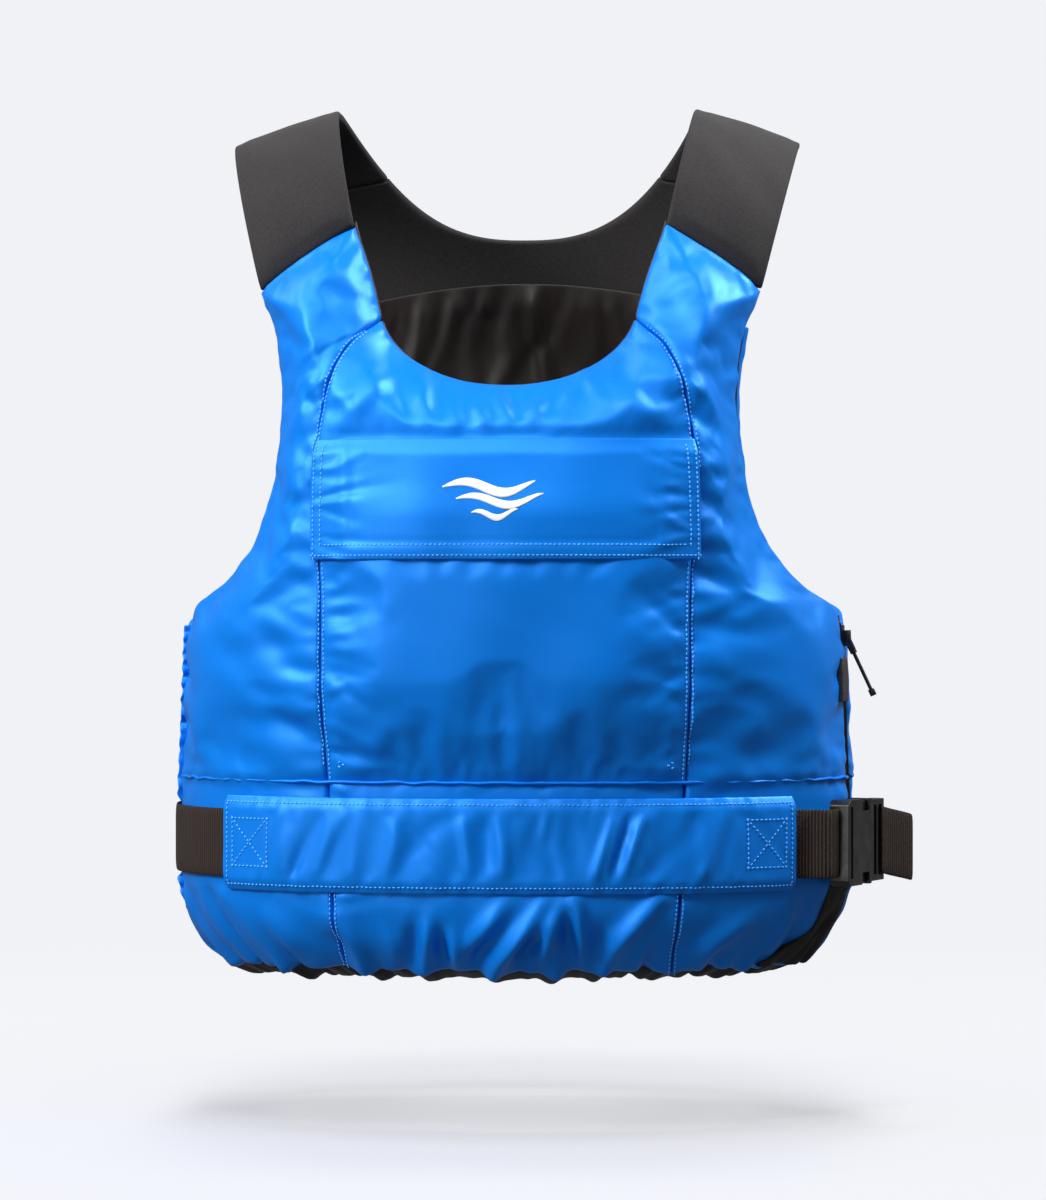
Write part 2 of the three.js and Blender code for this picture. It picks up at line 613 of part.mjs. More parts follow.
// ---------------------------------------------------------------- pocket, flap and fastening tapes
function pocketLift(u, z) {
  const across = 1 - Math.abs(2 * u - 1) ** 5;
  const up = smooth((z - POCKET_LOW_Z) / 30);
  return REST_GAP + POCKET_ROOM * across * up;
}
const CENTRE_GRID = centreFront();
function onColumn(i, z, out) {
  const column = CENTRE_GRID[i];
  let j = 0;
  while (j < column.length - 2 && column[j + 1][1] < z) j += 1;
  const a = outerSkin(...column[j], out);
  const b = outerSkin(...column[j + 1], out);
  const t = (z - a[2]) / (b[2] - a[2]);
  return [lerp(a[0], b[0], t), lerp(a[1], b[1], t), z];
}
function onCentre(u, z, out) {
  let i = 0;
  while (i < CENTRE_STEPS.length - 2 && CENTRE_STEPS[i + 1] < u) i += 1;
  const a = onColumn(i, z, out);
  const b = onColumn(i + 1, z, out);
  const t = (u - CENTRE_STEPS[i]) / (CENTRE_STEPS[i + 1] - CENTRE_STEPS[i]);
  return [lerp(a[0], b[0], t), lerp(a[1], b[1], t), z];
}
const POCKET_ROWS = [POCKET_LOW_Z, 128, 148, 176, ARMPIT_Z, 232, 262, POCKET_TOP_Z];
add('pocket_panel', sheet(
  CENTRE_STEPS.length - 1,
  POCKET_ROWS.length - 1,
  (i, j) => onCentre(CENTRE_STEPS[i], POCKET_ROWS[j], pocketLift(CENTRE_STEPS[i], POCKET_ROWS[j]) + SKIN),
  (i, j) => onCentre(CENTRE_STEPS[i], POCKET_ROWS[j], pocketLift(CENTRE_STEPS[i], POCKET_ROWS[j])),
), 'blueDark');
const FASTENER_STACK = 3 * GAP + 2 * HOOK_THICKNESS;
function flapLift(u, z) {
  const over = pocketLift(u, z) + SKIN + FASTENER_STACK;
  return lerp(over, REST_GAP, smooth((z - POCKET_TOP_Z) / (FLAP_TOP_Z - POCKET_TOP_Z)));
}
const FLAP_ROWS = [FLAP_LOW_Z, 262, POCKET_TOP_Z, 294, 300, FLAP_TOP_Z];
add('pocket_flap', sheet(
  CENTRE_STEPS.length - 1,
  FLAP_ROWS.length - 1,
  (i, j) => onCentre(CENTRE_STEPS[i], FLAP_ROWS[j], flapLift(CENTRE_STEPS[i], FLAP_ROWS[j]) + FLAP_THICKNESS),
  (i, j) => onCentre(CENTRE_STEPS[i], FLAP_ROWS[j], flapLift(CENTRE_STEPS[i], FLAP_ROWS[j])),
), 'blue');
const TAPE_SHARE = HOOK_HALF_WIDTH / (2 * princess(HOOK_LOW_Z));
const TAPE_STEPS = [0.5 - TAPE_SHARE, 0.5, 0.5 + TAPE_SHARE];
const TAPE_ROWS = [HOOK_LOW_Z, HOOK_HIGH_Z];
function fastener(name, level) {
  const lift = (i, j) => pocketLift(TAPE_STEPS[i], TAPE_ROWS[j]) + SKIN + level;
  add(name, sheet(
    TAPE_STEPS.length - 1,
    1,
    (i, j) => onCentre(TAPE_STEPS[i], TAPE_ROWS[j], lift(i, j) + HOOK_THICKNESS),
    (i, j) => onCentre(TAPE_STEPS[i], TAPE_ROWS[j], lift(i, j)),
  ), 'tape');
}
fastener('pocket_loop_tape', GAP);
fastener('flap_hook_tape', 2 * GAP + HOOK_THICKNESS);

// ---------------------------------------------------------------- belt tunnels
const WEB_LEVEL = 0.7;
const TUNNEL_LEVEL = WEB_LEVEL + WEBBING_THICKNESS + 0.9;
const WEB_LOW_Z = BELT_Z - WEBBING_WIDTH / 2;
const WEB_HIGH_Z = BELT_Z + WEBBING_WIDTH / 2;
const beltSkin = (angle, z, out) => {
  const p = outerSkin(angle, BELT_Z, out);
  return [p[0], p[1], z];
};
const TUNNEL_ROWS = [
  TUNNEL_LOW_Z, TUNNEL_LOW_Z + TUNNEL_EDGE, BELT_Z, TUNNEL_HIGH_Z - TUNNEL_EDGE, TUNNEL_HIGH_Z,
];
const TUNNEL_COUNT = 24;
function tunnelPoint(i, j, front, extra) {
  const end = angleAtX(TUNNEL_HALF_X, BELT_Z, true);
  const t = lerp(-end, end, i / TUNNEL_COUNT);
  const angle = front ? t : Math.sign(t || 1) * (Math.PI - Math.abs(t));
  const edge = j === 0 || j === TUNNEL_ROWS.length - 1;
  if (edge) return outerSkin(angle, TUNNEL_ROWS[j], REST_GAP + extra);
  return beltSkin(angle, TUNNEL_ROWS[j], TUNNEL_LEVEL + extra);
}
for (const front of [true, false]) {
  add(front ? 'front_belt_tunnel' : 'back_belt_tunnel', sheet(
    TUNNEL_COUNT,
    TUNNEL_ROWS.length - 1,
    (i, j) => tunnelPoint(i, j, front, TUNNEL_SKIN),
    (i, j) => tunnelPoint(i, j, front, 0),
  ), 'blueDark');
}

// ---------------------------------------------------------------- webbing
// A band from plan points and their outward normals, standing upright on the belt line.
function band(name, path, low, high, look) {
  const normal = path.map((p, i) => {
    const a = path[Math.max(0, i - 1)];
    const b = path[Math.min(path.length - 1, i + 1)];
    const d = Math.hypot(b[0] - a[0], b[1] - a[1]);
    return [(b[1] - a[1]) / d, -(b[0] - a[0]) / d];
  });
  const half = WEBBING_THICKNESS / 2;
  const at = (i, j, out) => [path[i][0] + normal[i][0] * out, path[i][1] + normal[i][1] * out, j ? high(i) : low(i)];
  add(name, sheet(path.length - 1, 1, (i, j) => at(i, j, half), (i, j) => at(i, j, -half)), look);
}
const webPoint = (angle) => beltSkin(angle, BELT_Z, WEB_LEVEL + WEBBING_THICKNESS / 2);
const webStart = angleAtX(WEBBING_INSIDE_X, BELT_Z, true);
const flatLow = () => WEB_LOW_Z;
const flatHigh = () => WEB_HIGH_Z;
band('belt_webbing_right', sample(26, (t) => {
  const a = lerp(webStart, Math.PI - webStart, t);
  return webPoint(-a);
}).reverse(), flatLow, flatHigh, 'webbing');

const bearing = THREE.MathUtils.degToRad(BUCKLE_BEARING);
const ALONG = [Math.sin(bearing), Math.cos(bearing)];
const OUTWARD = [Math.cos(bearing), -Math.sin(bearing)];
const buckleAt = (l, n) => [
  OUTWARD[0] * (BUCKLE_STAND_OFF + n) + ALONG[0] * l,
  OUTWARD[1] * (BUCKLE_STAND_OFF + n) + ALONG[1] * l,
];
const WEB_BAR_L = 3.2;
const tunnelEnd = angleAtX(TUNNEL_HALF_X, BELT_Z, true);
function spline(points, count) {
  const path = new THREE.CatmullRomCurve3(points.map((p) => new THREE.Vector3(p[0], p[1], 0)));
  return sample(count, (t) => path.getPoint(t).toArray());
}
const frontInside = sample(4, (t) => webPoint(lerp(webStart, tunnelEnd, t)));
const MALE_START = FEMALE_START + FEMALE_LENGTH + GAP;
const MALE_END = MALE_START + MALE_LENGTH;
const frontSpan = spline([
  webPoint(tunnelEnd - 0.05),
  webPoint(tunnelEnd + 0.03),
  buckleAt(FEMALE_START - 9, -2.2),
  buckleAt(FEMALE_START - GAP, 0),
], 9).slice(4);
band('belt_webbing_left_front', [...frontInside, ...frontSpan], flatLow, flatHigh, 'webbing');
const backEnd = Math.PI - tunnelEnd;
const backSpan = spline([
  buckleAt(MALE_END + GAP, 0),
  buckleAt(MALE_END + 10, -1),
  [BUCKLE_STAND_OFF + 5, 12],
  [BUCKLE_STAND_OFF - 4, 38],
  webPoint(backEnd - 0.1),
  webPoint(backEnd + 0.05),
], 14);
const backInside = sample(3, (t) => webPoint(lerp(backEnd + 0.12, Math.PI - webStart, t)));
band('belt_webbing_left_back', [...backSpan, ...backInside], flatLow, flatHigh, 'webbing');
const TAIL_LENGTH = 26;
const tail = spline([
  buckleAt(MALE_END - 7, 4.5 + WEBBING_THICKNESS / 2 + GAP),
  buckleAt(MALE_END + 2, 5 + WEBBING_THICKNESS / 2 + GAP),
  buckleAt(MALE_END + TAIL_LENGTH * 0.6, 10.5),
  buckleAt(MALE_END + TAIL_LENGTH, 12.5),
], 7);
const tailDrop = (i) => 0.9 * i;
band('belt_tail', tail, (i) => WEB_LOW_Z - tailDrop(i), (i) => WEB_HIGH_Z - tailDrop(i), 'webbing');

// ---------------------------------------------------------------- side-release buckle
// Local axes: X along the belt towards the back, Y towards the body, Z up.
const buckleFrame = new THREE.Matrix4().makeBasis(
  new THREE.Vector3(ALONG[0], ALONG[1], 0),
  new THREE.Vector3(-OUTWARD[0], -OUTWARD[1], 0),
  new THREE.Vector3(0, 0, 1),
).setPosition(OUTWARD[0] * BUCKLE_STAND_OFF, OUTWARD[1] * BUCKLE_STAND_OFF, BELT_Z);
function plate(points, depthMm) {
  const shape = new THREE.Shape(points.map(([x, z]) => new THREE.Vector2(x, z)));
  const geometry = new THREE.ExtrudeGeometry(shape, { depth: depthMm, bevelEnabled: false });
  return toManifold(geometry, new THREE.Matrix4().makeRotationX(Math.PI / 2).setPosition(0, depthMm / 2, 0));
}
const FH = FEMALE_HEIGHT / 2;
const FT = FEMALE_THICKNESS / 2;
const FEMALE_END = FEMALE_START + FEMALE_LENGTH;
const SOCKET_START = FEMALE_START + 9;
const ARM_SLOT = 13;
const ARM_THICKNESS = FEMALE_THICKNESS - 2 * FEMALE_WALL - 2 * SEAM_GAP;
const female = plate([
  [FEMALE_START, -FH + 3],
  [FEMALE_START + 3, -FH],
  [FEMALE_END - 2, -FH],
  [FEMALE_END, -FH + 2],
  [FEMALE_END, FH - 2],
  [FEMALE_END - 2, FH],
  [FEMALE_START + 3, FH],
  [FEMALE_START, FH - 3],
], FEMALE_THICKNESS)
  .subtract(box(SOCKET_START, FEMALE_END + 5, -FT + FEMALE_WALL, FT - FEMALE_WALL, -FH + 2.4, FH - 2.4))
  .subtract(box(SOCKET_START + ARM_SLOT, FEMALE_END - 5, -FT - 1, FT + 1, FH - 7, FH + 1))
  .subtract(box(SOCKET_START + ARM_SLOT, FEMALE_END - 5, -FT - 1, FT + 1, -FH - 1, -FH + 7))
  .subtract(box(FEMALE_START + 4, FEMALE_START + 7, -FT - 1, FT + 1, -FH + 4, FH - 4));
add('buckle_female', fromManifold(female), 'plastic', buckleFrame);
const MH = FH - 1;
const ladder = box(MALE_START, MALE_END, -4.5, 4.5, -MH, MH)
  .subtract(box(MALE_START + 6, MALE_START + 10, -6, 6, -MH + 3.5, MH - 3.5))
  .subtract(box(MALE_START + 13, MALE_END - 4, -6, 6, -MH + 3.5, MH - 3.5));
const tongue = box(SOCKET_START + 3, MALE_START + 1, -ARM_THICKNESS / 2, ARM_THICKNESS / 2, -5, 5);
add('buckle_male', fromManifold(ladder.add(tongue)), 'plastic', buckleFrame);
const ARM_ROOT = MALE_START - 0.8;
const armHigh = FH - 2.4 - SEAM_GAP;
function arm(sign) {
  const s = (z) => sign * z;
  const outline = [
    [ARM_ROOT, s(armHigh - 7)],
    [ARM_ROOT, s(armHigh - 1)],
    [FEMALE_END - 5.4, s(armHigh - 1)],
    [FEMALE_END - 6, s(armHigh + 2)],
    [SOCKET_START + ARM_SLOT + 1, s(armHigh + 1)],
    [SOCKET_START + ARM_SLOT + 0.4, s(armHigh)],
    [SOCKET_START + 5, s(armHigh - 3)],
    [SOCKET_START + 4, s(armHigh - 6)],
    [SOCKET_START + 9, s(armHigh - 5)],
  ];
  return plate(sign > 0 ? outline : outline.reverse(), ARM_THICKNESS);
}
add('buckle_arm_upper', fromManifold(arm(1)), 'plastic', buckleFrame);
add('buckle_arm_lower', fromManifold(arm(-1)), 'plastic', buckleFrame);

// ---------------------------------------------------------------- side zip
const zipAngle = (y, z) => angleAtY(SIDE_SEAM_Y + y, z);
const zipScale = (z) => lerp(EDGE_THICKNESS, SIDE_THICKNESS, puff(z / 45)) / SIDE_THICKNESS;
const zipPoint = (y, z, out) => surface(zipAngle(y, z), z, out * zipScale(z));
const ZIP_ROWS = [ZIP_LOW_Z, 24, 34, 44, 54, 64, 75, 108, 146, 175, ZIP_HIGH_Z];
for (const [label, side] of [['front', -1], ['back', 1]]) {
  const from = side * (ZIP_TEETH_HALF + GAP);
  const to = side * (ZIP_CHANNEL - SEAM_GAP);
  add(`zip_tape_${label}`, sheet(
    1,
    ZIP_ROWS.length - 1,
    (i, j) => zipPoint(i ? to : from, ZIP_ROWS[j], ZIP_TAPE_LEVEL + ZIP_TAPE_THICKNESS),
    (i, j) => zipPoint(i ? to : from, ZIP_ROWS[j], ZIP_TAPE_LEVEL),
  ), 'tape');
  const count = 2 * Math.round((ZIP_HIGH_Z - ZIP_LOW_Z) / ZIP_PITCH);
  const toothEdge = (j) => (j % 2 === 0 ? TOOTH_REACH : -TOOTH_REACH) + side * GAP * 0.75;
  const toothZ = (j) => lerp(ZIP_LOW_Z, ZIP_HIGH_Z, j / count);
  const level = ZIP_TAPE_LEVEL - 0.8;
  add(`zip_teeth_${label}`, sheet(
    1,
    count,
    (i, j) => zipPoint(i ? side * ZIP_TEETH_HALF : toothEdge(j), toothZ(j), level + ZIP_TEETH_THICKNESS),
    (i, j) => zipPoint(i ? side * ZIP_TEETH_HALF : toothEdge(j), toothZ(j), level),
  ), 'plastic');
}
const blockRows = (low, high) => [low, (low + high) / 2, high];
function zipBlock(name, low, high, halfWide, base, top, look) {
  const rows = blockRows(low, high);
  add(name, sheet(
    1,
    2,
    (i, j) => zipPoint(i ? halfWide : -halfWide, rows[j], top),
    (i, j) => zipPoint(i ? halfWide : -halfWide, rows[j], base),
  ), look);
}
const ZIP_TOP = ZIP_TAPE_LEVEL - 0.8 + ZIP_TEETH_THICKNESS;
zipBlock('zip_bottom_box', LOW_Z, ZIP_LOW_Z - GAP, ZIP_CHANNEL - SEAM_GAP, 4.6, ZIP_TOP + 0.8, 'plastic');
zipBlock('zip_top_stop', ZIP_HIGH_Z + GAP, ZIP_HIGH_Z + 4, ZIP_TEETH_HALF + 1.6, 5, ZIP_TOP, 'plastic');

// Slider frame: X outwards, Y across the chain, Z up the chain.
const slideHigh = new THREE.Vector3(...zipPoint(0, ZIP_HIGH_Z, SIDE_THICKNESS));
const slideLow = new THREE.Vector3(...zipPoint(0, 108, SIDE_THICKNESS));
const slideUp = slideHigh.clone().sub(slideLow).normalize();
const channelAcross = new THREE.Vector3(...zipPoint(4, 160, SIDE_THICKNESS))
  .sub(new THREE.Vector3(...zipPoint(-4, 160, SIDE_THICKNESS))).normalize();
const slideOut = channelAcross.clone().cross(slideUp).normalize();
const slideAcross = slideUp.clone().cross(slideOut).normalize();
const sliderFrame = new THREE.Matrix4().makeBasis(slideOut, slideAcross, slideUp);
const sliderSeat = new THREE.Vector3(...zipPoint(0, SLIDER_TOP_Z, ZIP_TOP + GAP));
sliderFrame.setPosition(sliderSeat);
const lipBase = ZIP_TAPE_LEVEL + ZIP_TAPE_THICKNESS + GAP - (ZIP_TOP + GAP);
const lipIn = ZIP_TEETH_HALF + 0.7;
const halfSlider = SLIDER_WIDTH / 2;
const PIVOT_X = SLIDER_PLATE + 2.6;
const PIVOT_Z = -9;
const pin = toManifold(
  new THREE.CylinderGeometry(PIN_RADIUS, PIN_RADIUS, 6, 16),
  new THREE.Matrix4().makeTranslation(PIVOT_X, 0, PIVOT_Z),
);
const slider = box(0, SLIDER_PLATE, -halfSlider, halfSlider, -SLIDER_LENGTH, 0)
  .add(box(lipBase, 1, -halfSlider, -lipIn, -SLIDER_LENGTH, 0))
  .add(box(lipBase, 1, lipIn, halfSlider, -SLIDER_LENGTH, 0))
  .add(box(SLIDER_PLATE - 0.5, PIVOT_X + 1.8, -0.9, 0.9, PIVOT_Z - 3.4, PIVOT_Z + 6))
  .add(pin);
add('zip_slider', fromManifold(slider), 'plastic', sliderFrame);
const cheek = (low, high) => box(-1.7, 1.7, low, high, -6.5, 1.7)
  .subtract(toManifold(
    new THREE.CylinderGeometry(PIN_RADIUS + GAP, PIN_RADIUS + GAP, 12, 16),
  ));
const CHEEK_IN = 0.9 + GAP;
const knobEnd = -PULLER_LENGTH;
const upright = (z) => new THREE.Matrix4().makeRotationX(Math.PI / 2).setPosition(0, 0, z);
const puller = cheek(CHEEK_IN, CHEEK_IN + 1.3)
  .add(cheek(-CHEEK_IN - 1.3, -CHEEK_IN))
  .add(box(-1.6, 1.6, -CHEEK_IN - 1.3, CHEEK_IN + 1.3, -8.5, -6))
  .add(toManifold(
    new THREE.CylinderGeometry(PULLER_RADIUS, PULLER_RADIUS, PULLER_LENGTH - 10, 12),
    upright(-8 - (PULLER_LENGTH - 10) / 2),
  ))
  .add(toManifold(new THREE.CylinderGeometry(1.9, 1.9, 4, 14), upright(knobEnd + 2)));
const pullerFrame = sliderFrame.clone()
  .multiply(new THREE.Matrix4().makeTranslation(PIVOT_X, 0, PIVOT_Z))
  .multiply(new THREE.Matrix4().makeRotationY(-THREE.MathUtils.degToRad(PULLER_TILT)));
add('zip_puller', fromManifold(puller), 'plastic', pullerFrame);

// A folded webbing tab sewn beside the zip.
const TAB_THICKNESS = 1.6;
const TAB_ROWS = [158, 171, 184];
const tabAcross = [-ZIP_CHANNEL - 13, -ZIP_CHANNEL - 7, -ZIP_CHANNEL - 1];
const tabPoint = (i, j, out) => outerSkin(zipAngle(tabAcross[i], TAB_ROWS[j]), TAB_ROWS[j], out);
add('zip_side_tab', sheet(
  2,
  2,
  (i, j) => tabPoint(i, j, SEAM_GAP + TAB_THICKNESS),
  (i, j) => tabPoint(i, j, SEAM_GAP),
), 'webbing');

export default vest;
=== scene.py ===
"""Buoyancy vest: padded panels, linings, straps, pocket, belt, buckle and side zip."""

import math

import bmesh
import bpy
import numpy as np
from bpy.props import FloatProperty, FloatVectorProperty, PointerProperty
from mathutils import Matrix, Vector


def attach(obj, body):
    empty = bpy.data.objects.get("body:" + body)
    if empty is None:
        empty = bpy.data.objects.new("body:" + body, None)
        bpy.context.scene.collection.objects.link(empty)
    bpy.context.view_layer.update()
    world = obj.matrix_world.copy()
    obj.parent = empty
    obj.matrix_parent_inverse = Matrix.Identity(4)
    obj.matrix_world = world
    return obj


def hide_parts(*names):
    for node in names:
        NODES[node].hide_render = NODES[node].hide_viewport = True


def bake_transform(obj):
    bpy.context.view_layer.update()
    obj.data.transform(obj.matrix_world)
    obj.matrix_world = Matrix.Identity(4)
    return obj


bl_info = {
    "name": "Buoyancy vest",
    "version": (1, 0, 0),
    "blender": (4, 5, 0),
    "location": "View3D > Sidebar > Vest",
    "description": "Builds a padded side-zip buoyancy vest on its mechanical frame",
    "category": "Object",
}

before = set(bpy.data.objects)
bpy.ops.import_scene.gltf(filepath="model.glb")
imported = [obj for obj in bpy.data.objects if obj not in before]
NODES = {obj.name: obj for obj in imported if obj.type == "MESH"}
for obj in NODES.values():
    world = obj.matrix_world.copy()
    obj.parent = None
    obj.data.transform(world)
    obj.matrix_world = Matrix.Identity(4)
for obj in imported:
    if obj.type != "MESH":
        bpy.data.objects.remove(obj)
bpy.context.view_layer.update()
MM = 0.001

# ---------------------------------------------------------------- sizes shared with the frame, in mm
POWER = 2.3
LINING = 1.2
SEAM_GAP = 0.15
EDGE = 7.0
SIDE = 10.0
LOW_Z = 8.4
ARMPIT_Z = 205.0
NECK_LOW_Z = 342.0
CORNER_Z = 380.0
CORNER_X = 72.5
SHOULDER_IN = (90.0, 436.0)
SHOULDER_OUT = (144.0, 398.0)
BACK_TOP_Z = 411.0
BACK_ARM_X = 136.0
BACK_SEAM_X = 98.0
SIDE_SEAM_Y = -22.0
ZIP_CHANNEL = 6.0
STRAP = 5.0
STRAP_TOP_Y = 10.0
STRAP_FLAT = 16.0
STRAP_IN_X, STRAP_OUT_X = 105.0, 166.0
STRAP_IN_Z = 511.0
STRAP_SLOPE = 0.34
BACK_NECK_Z = 442.0
ARCH_Z = 400.0
STRAP_SEAM_ANGLE = 44.7
POCKET_LOW_Z, POCKET_TOP_Z = 113.5, 288.0
FLAP_LOW_Z, FLAP_TOP_Z = 241.0, 306.0
FLAP_SEAM_Z = 310.0
REST = 0.8
BELT_Z = 77.0
WEB_WIDTH = 40.0
WEB_THICK = 1.8
WEB_LEVEL = 0.7
TUNNEL_LOW_Z, TUNNEL_HIGH_Z = 50.0, 105.0
TUNNEL_LEVEL = WEB_LEVEL + WEB_THICK + 0.9
TUNNEL_HALF_X = 154.0
WEB_INSIDE_X = 112.0
ZIP_LOW_Z, ZIP_HIGH_Z = 16.0, 205.0
TAPE_LEVEL = 6.0

HALF_WIDTHS = [
    (0, 148), (6, 161), (12, 169), (24, 180), (40, 187.5), (54, 191), (75, 192),
    (118, 190.181), (162, 188.319), (205, 186.5), (250, 181.5), (300, 181.5), (360, 186.5),
    (440, 195.5), (520, 200.5),
]
FRONT_DEPTHS = [
    (0, 88), (10, 98), (26, 105), (50, 109), (104, 109), (200, 112), (290, 112), (340, 107),
    (380, 98), (410, 89), (440, 77), (520, 40),
]
BACK_DEPTHS = [
    (0, 78), (10, 88), (26, 95), (50, 98), (104, 98), (200, 103), (300, 107), (360, 106),
    (411, 98), (445, 88),
]
PRINCESS = [
    (0, 90), (50, 94.5), (113, 97), (218, 96), (303, 99), (311, 98.2), (338, 94), (364, 86),
    (380, 72.5),
]
NECK_SIDE = [(380, 72.5), (408, 80.025), (436, 90)]
ARM_FRONT = [
    (205, 202.5), (213, 187), (227, 164), (251, 146), (290, 133.5), (337, 129), (370, 133),
    (398, 144),
]


def back_top(x):
    return BACK_TOP_Z - 9.0 * (np.asarray(x) / 82.0) ** 2


BACK_ARM_Z = float(back_top(BACK_ARM_X))
ARM_BACK = [
    (205, 202.5), (213, 187), (227, 164), (251, 147), (290, 135), (337, 131), (365, 132.5),
    (BACK_ARM_Z, BACK_ARM_X),
]
STRAP_OUT_Z = STRAP_IN_Z - (STRAP_OUT_X - STRAP_IN_X) * STRAP_SLOPE
OUTER_BACK = [(BACK_ARM_Z, BACK_ARM_X), (420, 141), (450, 152), (STRAP_OUT_Z, STRAP_OUT_X)]


# ---------------------------------------------------------------- curves and the torso surface
def curve(points, z):
    xs = np.array([p[0] for p in points], float)
    ys = np.array([p[1] for p in points], float)
    z = np.clip(np.asarray(z, float), xs[0], xs[-1])
    h = np.diff(xs)
    d = np.diff(ys) / h
    m = np.zeros(len(xs))
    m[0], m[-1] = d[0], d[-1]
    product = d[:-1] * d[1:]
    total = np.where(np.abs(d[:-1] + d[1:]) < 1e-12, 1.0, d[:-1] + d[1:])
    m[1:-1] = np.where(product <= 0, 0.0, 2 * product / total)
    i = np.clip(np.searchsorted(xs, z, side="right") - 1, 0, len(h) - 1)
    t = (z - xs[i]) / h[i]
    t2, t3 = t * t, t * t * t
    return (
        (2 * t3 - 3 * t2 + 1) * ys[i]
        + (t3 - 2 * t2 + t) * m[i] * h[i]
        + (3 * t2 - 2 * t3) * ys[i + 1]
        + (t3 - t2) * m[i + 1] * h[i]
    )


def mix(a, b, t):
    return a + (b - a) * t


def smooth(t):
    t = np.clip(t, 0, 1)
    return t * t * (3 - 2 * t)


def puff(t):
    return 1 - (1 - np.clip(t, 0, 1)) ** 2


def half_width(z):
    return curve(HALF_WIDTHS, z)


def depth(z, front):
    return np.where(front, curve(FRONT_DEPTHS, z), curve(BACK_DEPTHS, z))


def angle_at_x(x, z, front=True):
    s = np.minimum(0.99999, np.abs(x) / half_width(z)) ** (POWER / 2)
    return np.where(front, np.arcsin(s), np.pi - np.arcsin(s))


def angle_at_y(y, z):
    front = y < 0
    c = (abs(y) / depth(z, front)) ** (POWER / 2)
    return np.where(front, np.arccos(c), np.pi - np.arccos(c))


def surface(angle, z, out):
    angle, z, out = np.broadcast_arrays(np.asarray(angle, float), z, out)
    side = np.where(angle < 0, -1.0, 1.0)
    p = np.abs(angle)
    front = p < np.pi / 2
    c = np.maximum(1e-9, np.abs(np.cos(p)))
    s = np.maximum(1e-9, np.sin(p))
    a = half_width(z)
    b = depth(z, front)
    facing = np.where(front, -1.0, 1.0)
    x = a * s ** (2 / POWER)
    y = b * c ** (2 / POWER) * facing
    nx = s ** (2 - 2 / POWER) / a
    ny = c ** (2 - 2 / POWER) / b * facing
    length = np.hypot(nx, ny)
    return np.stack([side * (x + nx / length * out), y + ny / length * out, z], -1)


def princess(z):
    return np.where(np.asarray(z) <= CORNER_Z, curve(PRINCESS, z), curve(NECK_SIDE, z))


def neck_height(x):
    wide = CORNER_X + 2
    t = np.minimum(1, np.abs(x) / wide)
    full = 1 - math.sqrt(1 - (CORNER_X / wide) ** 2.2)
    return mix(NECK_LOW_Z, CORNER_Z, (1 - np.sqrt(np.maximum(0, 1 - t**2.2))) / full)


def edge_lines():
    t12 = np.linspace(0, 1, 13)
    t6 = np.linspace(0, 1, 7)
    t20 = np.linspace(0, 1, 21)

    def points(x, z, front):
        a = angle_at_x(x, z, front)
        return np.stack([(a if front else np.pi - a) * 150, z], -1)

    zn = mix(CORNER_Z, SHOULDER_IN[1], t6)
    zs = mix(SHOULDER_IN[1], SHOULDER_OUT[1], t6)
    za = mix(SHOULDER_OUT[1], ARMPIT_Z, t20)
    front = np.concatenate([
        points(t12 * CORNER_X, neck_height(t12 * CORNER_X), True),
        points(princess(zn), zn, True),
        points(mix(SHOULDER_IN[0], SHOULDER_OUT[0], t6), zs, True),
        points(curve(ARM_FRONT, za), za, True),
    ])
    zb = mix(BACK_ARM_Z, ARMPIT_Z, t20)
    back = np.concatenate([
        points(t12 * BACK_ARM_X, back_top(t12 * BACK_ARM_X), False),
        points(curve(ARM_BACK, zb), zb, False),
    ])
    return front, back


FRONT_EDGES, BACK_EDGES = edge_lines()


def line_distance(q, z, line):
    best = np.full(np.broadcast(q, z).shape, 1e9)
    for (ax, az), (bx, bz) in zip(line[:-1], line[1:]):
        dx, dz = bx - ax, bz - az
        size = dx * dx + dz * dz or 1.0
        t = np.clip(((q - ax) * dx + (z - az) * dz) / size, 0, 1)
        best = np.minimum(best, np.hypot(q - ax - t * dx, z - az - t * dz))
    return best


def thickness(angle, z):
    p = np.abs(angle)
    front = p < np.pi / 2
    q = np.where(front, p, np.pi - p) * 150
    away = np.where(front, line_distance(q, z, FRONT_EDGES), line_distance(q, z, BACK_EDGES))
    pad = np.where(front, 26.0, 20.0)
    up = np.clip((z - 107) / 64, 0, 1)
    level = mix(0.46, 1.0, (up + smooth(up)) / 2)
    full = SIDE + pad * (1 - np.sin(p) ** 3.2) * level
    return EDGE + (full - EDGE) * puff(z / 45) * puff(away / 36)


def side_edge(z, front, side):
    channel = ZIP_CHANNEL if side > 0 else SEAM_GAP / 2
    seam = angle_at_y(SIDE_SEAM_Y + (-channel if front else channel), z)
    arm = angle_at_x(curve(ARM_FRONT if front else ARM_BACK, z), z, front)
    held = np.minimum(seam, arm) if front else np.maximum(seam, arm)
    return np.where(z <= ARMPIT_Z, seam, held)


# ---------------------------------------------------------------- panel grids
def close_ends(n):
    """Even steps from 0 to 1, with the first and last ones short, so that edges stay crisp."""
    t = np.linspace(0, 1, n + 1)
    t[1] *= 0.3
    t[-2] = 1 - 0.3 * (1 - t[-2])
    return t


def grid_axes(nu, nv):
    return close_ends(nu)[:, None], close_ends(nv)[None, :]


